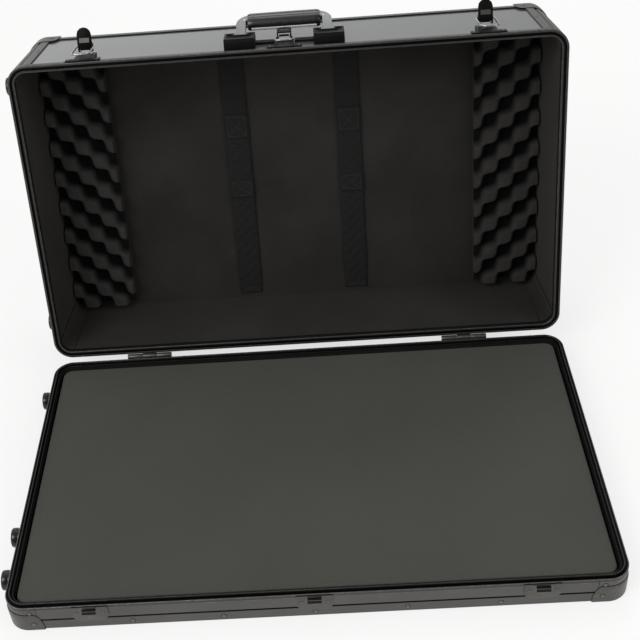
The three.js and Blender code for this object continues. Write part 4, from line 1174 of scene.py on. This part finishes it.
# The grip is soft black rubber. Three flat bands run along its face between grooves, and it swells
# slightly in the middle to fill the hand.
grip_half, grip_deep, grip_thick, grip_round = 53 * MM, 30 * MM, 20 * MM, 9.6 * MM
grip_middle = 40.3 * MM
band_groove, band_place = 0.9 * MM, 0.32
grip_corner_steps, grip_steps = 6, 26
grip_swell, grip_nip, nip_start = 0.015, 0.07, 0.93
handle_rest = 18

grip_rubber, tree, shader, place = new_finish("ribbed_grip_rubber", {"Specular IOR Level": 0.7})
dust = add_node(tree, "ShaderNodeTexNoise", {"Vector": place, "Scale": 220.0, "Detail": 5.0})
skin_of(shader, dust, "#0d0e0f", "#191a1c", (0.26, 0.4), relief=0.12)


def grip_ring(swell):
    """The grip's section, (along the bow, outward), with grooves between its bands."""
    half_deep, half_thick = grip_deep / 2 * swell, grip_thick / 2 * swell
    points = rounded_outline(half_deep, half_thick, grip_round, grip_corner_steps)
    for corners_before, way in ((3, -1), (1, 1)):
        grooves = []
        for share in (band_place, -band_place):
            at = share * (half_deep - grip_round) * 2
            for shift, depth in ((1, 0), (0.4, 1), (-0.4, 1), (-1, 0)):
                grooves.append((way * (at + shift * band_groove), way * (half_thick - depth * band_groove)))
        after = corners_before * (grip_corner_steps + 1)
        points[after:after] = grooves
    return points


shape = bmesh.new()
rings = []
for step in range(grip_steps + 1):
    share = 2 * step / grip_steps - 1
    easing = max(0.0, (abs(share) - nip_start) / (1 - nip_start))
    swell = 1 - grip_swell + grip_swell * math.cos(share * math.pi / 2) - grip_nip * easing ** 2
    rings.append([shape.verts.new((share * grip_half, -out, grip_middle + along))
                  for along, out in grip_ring(swell)])
skinned(shape, rings)
handle_pivot = Matrix.Translation(joints["handle_swing"]["pos_m"])
handle_place = handle_pivot @ lid_turn.to_4x4() @ Matrix.Rotation(math.radians(handle_rest), 4, "X")
shape.transform(handle_place)
grip = add_piece("handle_grip_sleeve", mesh_of("handle_grip", shape, smooth_angle=30), "handle", grip_rubber)
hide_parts("handle_grip")

# A bright strip clamps the sleeve along its lower edge, and a rivet at each end holds it to the bow.
# It is clear-anodised aluminium: pale, half matt, with fine marks of rolling.
clear, tree, shader, place = new_finish("clear_anodised_strip", {"Metallic": 0.2})
rolled = add_node(tree, "ShaderNodeTexNoise", {"Vector": place, "Scale": 300.0, "Detail": 3.0})
skin_of(shader, rolled, "#d6d6d4", "#eeeeec", (0.25, 0.4))

strip_inset, strip_wide, strip_thick, strip_turn = 5 * MM, 4.6 * MM, 1.8 * MM, 20
stud_radius, stud_rise, stud_sides = 1.9 * MM, 1.2 * MM, 20
stud_past, stud_out = 4.8 * MM, 4 * MM
strip_half = grip_half - strip_inset
shape = extruded(rectangle(-strip_half, strip_half, -strip_wide / 2, strip_wide / 2),
                 -grip_round - strip_thick / 2, strip_thick / 2 - grip_round)
round_middle = Vector((0, grip_thick / 2 - grip_round, grip_middle - grip_deep / 2 + grip_round))
shape.transform(handle_place @ Matrix.Translation(round_middle)
                @ Matrix.Rotation(math.radians(strip_turn), 4, "X"))
strip = add_piece("handle_grip_strip", mesh_of("grip_strip", shape), "handle", clear)
for side, sign in (("left", -1), ("right", 1)):
    shape = turned(boss_profile, stud_radius, stud_rise, stud_sides)
    spot = Vector((sign * (grip_half + stud_past), -stud_out, grip_middle))
    shape.transform(handle_place @ Matrix.Translation(spot) @ Matrix.Rotation(math.radians(90), 4, "X"))
    stud = add_piece(f"handle_grip_rivet_{side}", mesh_of("grip_rivet", shape), "handle", clear)

# Rivets and screws: domed steel heads that hold rails, caps, plates and hinges. Geometry Nodes set
# one head on every point, and each body gets its own set.
rivet_radius, rivet_rise = 3.0 * MM, 1.1 * MM
small_radius, small_rise = 1.9 * MM, 0.8 * MM
shadow_ring_spread, shadow_ring_rise = 1.22, 0.16 * MM

rivet_steel, tree, shader, place = new_finish("zinc_plated_rivet", {"Metallic": 0.9})
cloud = add_node(tree, "ShaderNodeTexNoise", {"Vector": place, "Scale": 400.0, "Detail": 4.0})
skin_of(shader, cloud, "#505150", "#7b7c7b", (0.28, 0.42))

# Each head sits on a thin dark disc a little wider than it, a painted shadow round the head.
painted_rivet_shadow, tree, shader, place = new_finish("painted_shadow_round_rivets", {"Roughness": 0.9, "Specular IOR Level": 0.2})
cloud = add_node(tree, "ShaderNodeTexNoise", {"Vector": place, "Scale": 500.0, "Detail": 3.0})
skin_of(shader, cloud, "#0a0a0a", "#1c1b1a")

rivet_tree = balls_on_points("rivets_on_points", rivet_steel, sides=16, rows=8)
rivet_shadow_tree = balls_on_points("rivet_shadows_on_points", painted_rivet_shadow, sides=16, rows=8)
large, small = {"base": [], "lid": []}, {"base": [], "lid": []}


def rivet(kind, body, spot, facing):
    """Adds a head at a place and way that are given as on the closed case."""
    turn = lid_open if body == "lid" else Matrix.Identity(4)
    outward = turn.to_3x3() @ Vector(facing).normalized()
    kind[body].append((turn @ Vector(spot), outward, outward.orthogonal().normalized()))


lower_rivet_step = 118 * MM
end_rivet, joint_rivet, post_rivet = 36 * MM, 34 * MM, corner_radius + 3 * MM
cap_rivet, rim_rivet, lid_rim_rivet = 12 * MM, 13 * MM, 5 * MM
latch_x, latch_screw, latch_rise, latch_proud = half_width - 112 * MM, 20.5 * MM, 9.5 * MM, 1.8 * MM
catch_screw, catch_fall, catch_proud = 17 * MM, 13 * MM, 1.5 * MM
hinge_x, hinge_screw, hinge_rise, hinge_proud = half_width - 150 * MM, 24 * MM, 14 * MM, 1.9 * MM
cap_proud = fit_gap + cap_thickness
for across in (-1, 1):
    for step in range(-2, 3):
        rivet(large, "base", (step * lower_rivet_step, across * half_depth, lower_top / 2), (0, across, 0))
    for step in range(-1, 2):
        rivet(large, "base", (across * half_width, step * lower_rivet_step, lower_top / 2), (across, 0, 0))
for sx in (-1, 1):
    for sy in (-1, 1):
        for body, cap_z, rail_z in (("base", cap_rivet, leaf_bottom + rim_rivet),
                                    ("lid", lid_top - cap_rivet, lid_bottom + lid_rim_rivet)):
            for kind, back, proud, z in ((large, end_rivet, cap_proud, cap_z),
                                         (large if body == "base" else small, joint_rivet, 0.0, rail_z)):
                rivet(kind, body, (sx * (half_width - back), sy * (half_depth + proud), z), (0, sy, 0))
                rivet(kind, body, (sx * (half_width + proud), sy * (half_depth - back), z), (sx, 0, 0))
        post_z = (post_low + post_high) / 2
        rivet(small, "lid", (sx * (half_width - post_rivet), sy * half_depth, post_z), (0, sy, 0))
        rivet(small, "lid", (sx * half_width, sy * (half_depth - post_rivet), post_z), (sx, 0, 0))
for x in (-latch_x, 0, latch_x):
    for step in (-1, 1):
        for body, out, proud, z in (("lid", latch_screw, latch_proud, rim_top + latch_rise),
                                    ("base", catch_screw, catch_proud, rim_top - catch_fall)):
            rivet(small, body, (x + step * out, -half_depth - proud, z), (0, -1, 0))
for x in (-hinge_x, hinge_x):
    for step in (-1, 0, 1):
        for body, z in (("base", rim_top - hinge_rise), ("lid", rim_top + hinge_rise)):
            rivet(small, body, (x + step * hinge_screw, half_depth + hinge_proud, z), (0, 1, 0))
for body in ("base", "lid"):
    for kind, heads, radius, rise in (("rivets", large[body], rivet_radius, rivet_rise),
                                      ("screws", small[body], small_radius, small_rise)):
        for name, dome_tree, wide, high in (
                (f"{body}_{kind}", rivet_tree, radius, rise),
                (f"{body}_{kind}_grime", rivet_shadow_tree, radius * shadow_ring_spread, shadow_ring_rise)):
            head_sizes = {"Radius": wide, "Length": wide, "Rise": high}
            laid_out(name, dome_tree, heads, head_sizes, body)
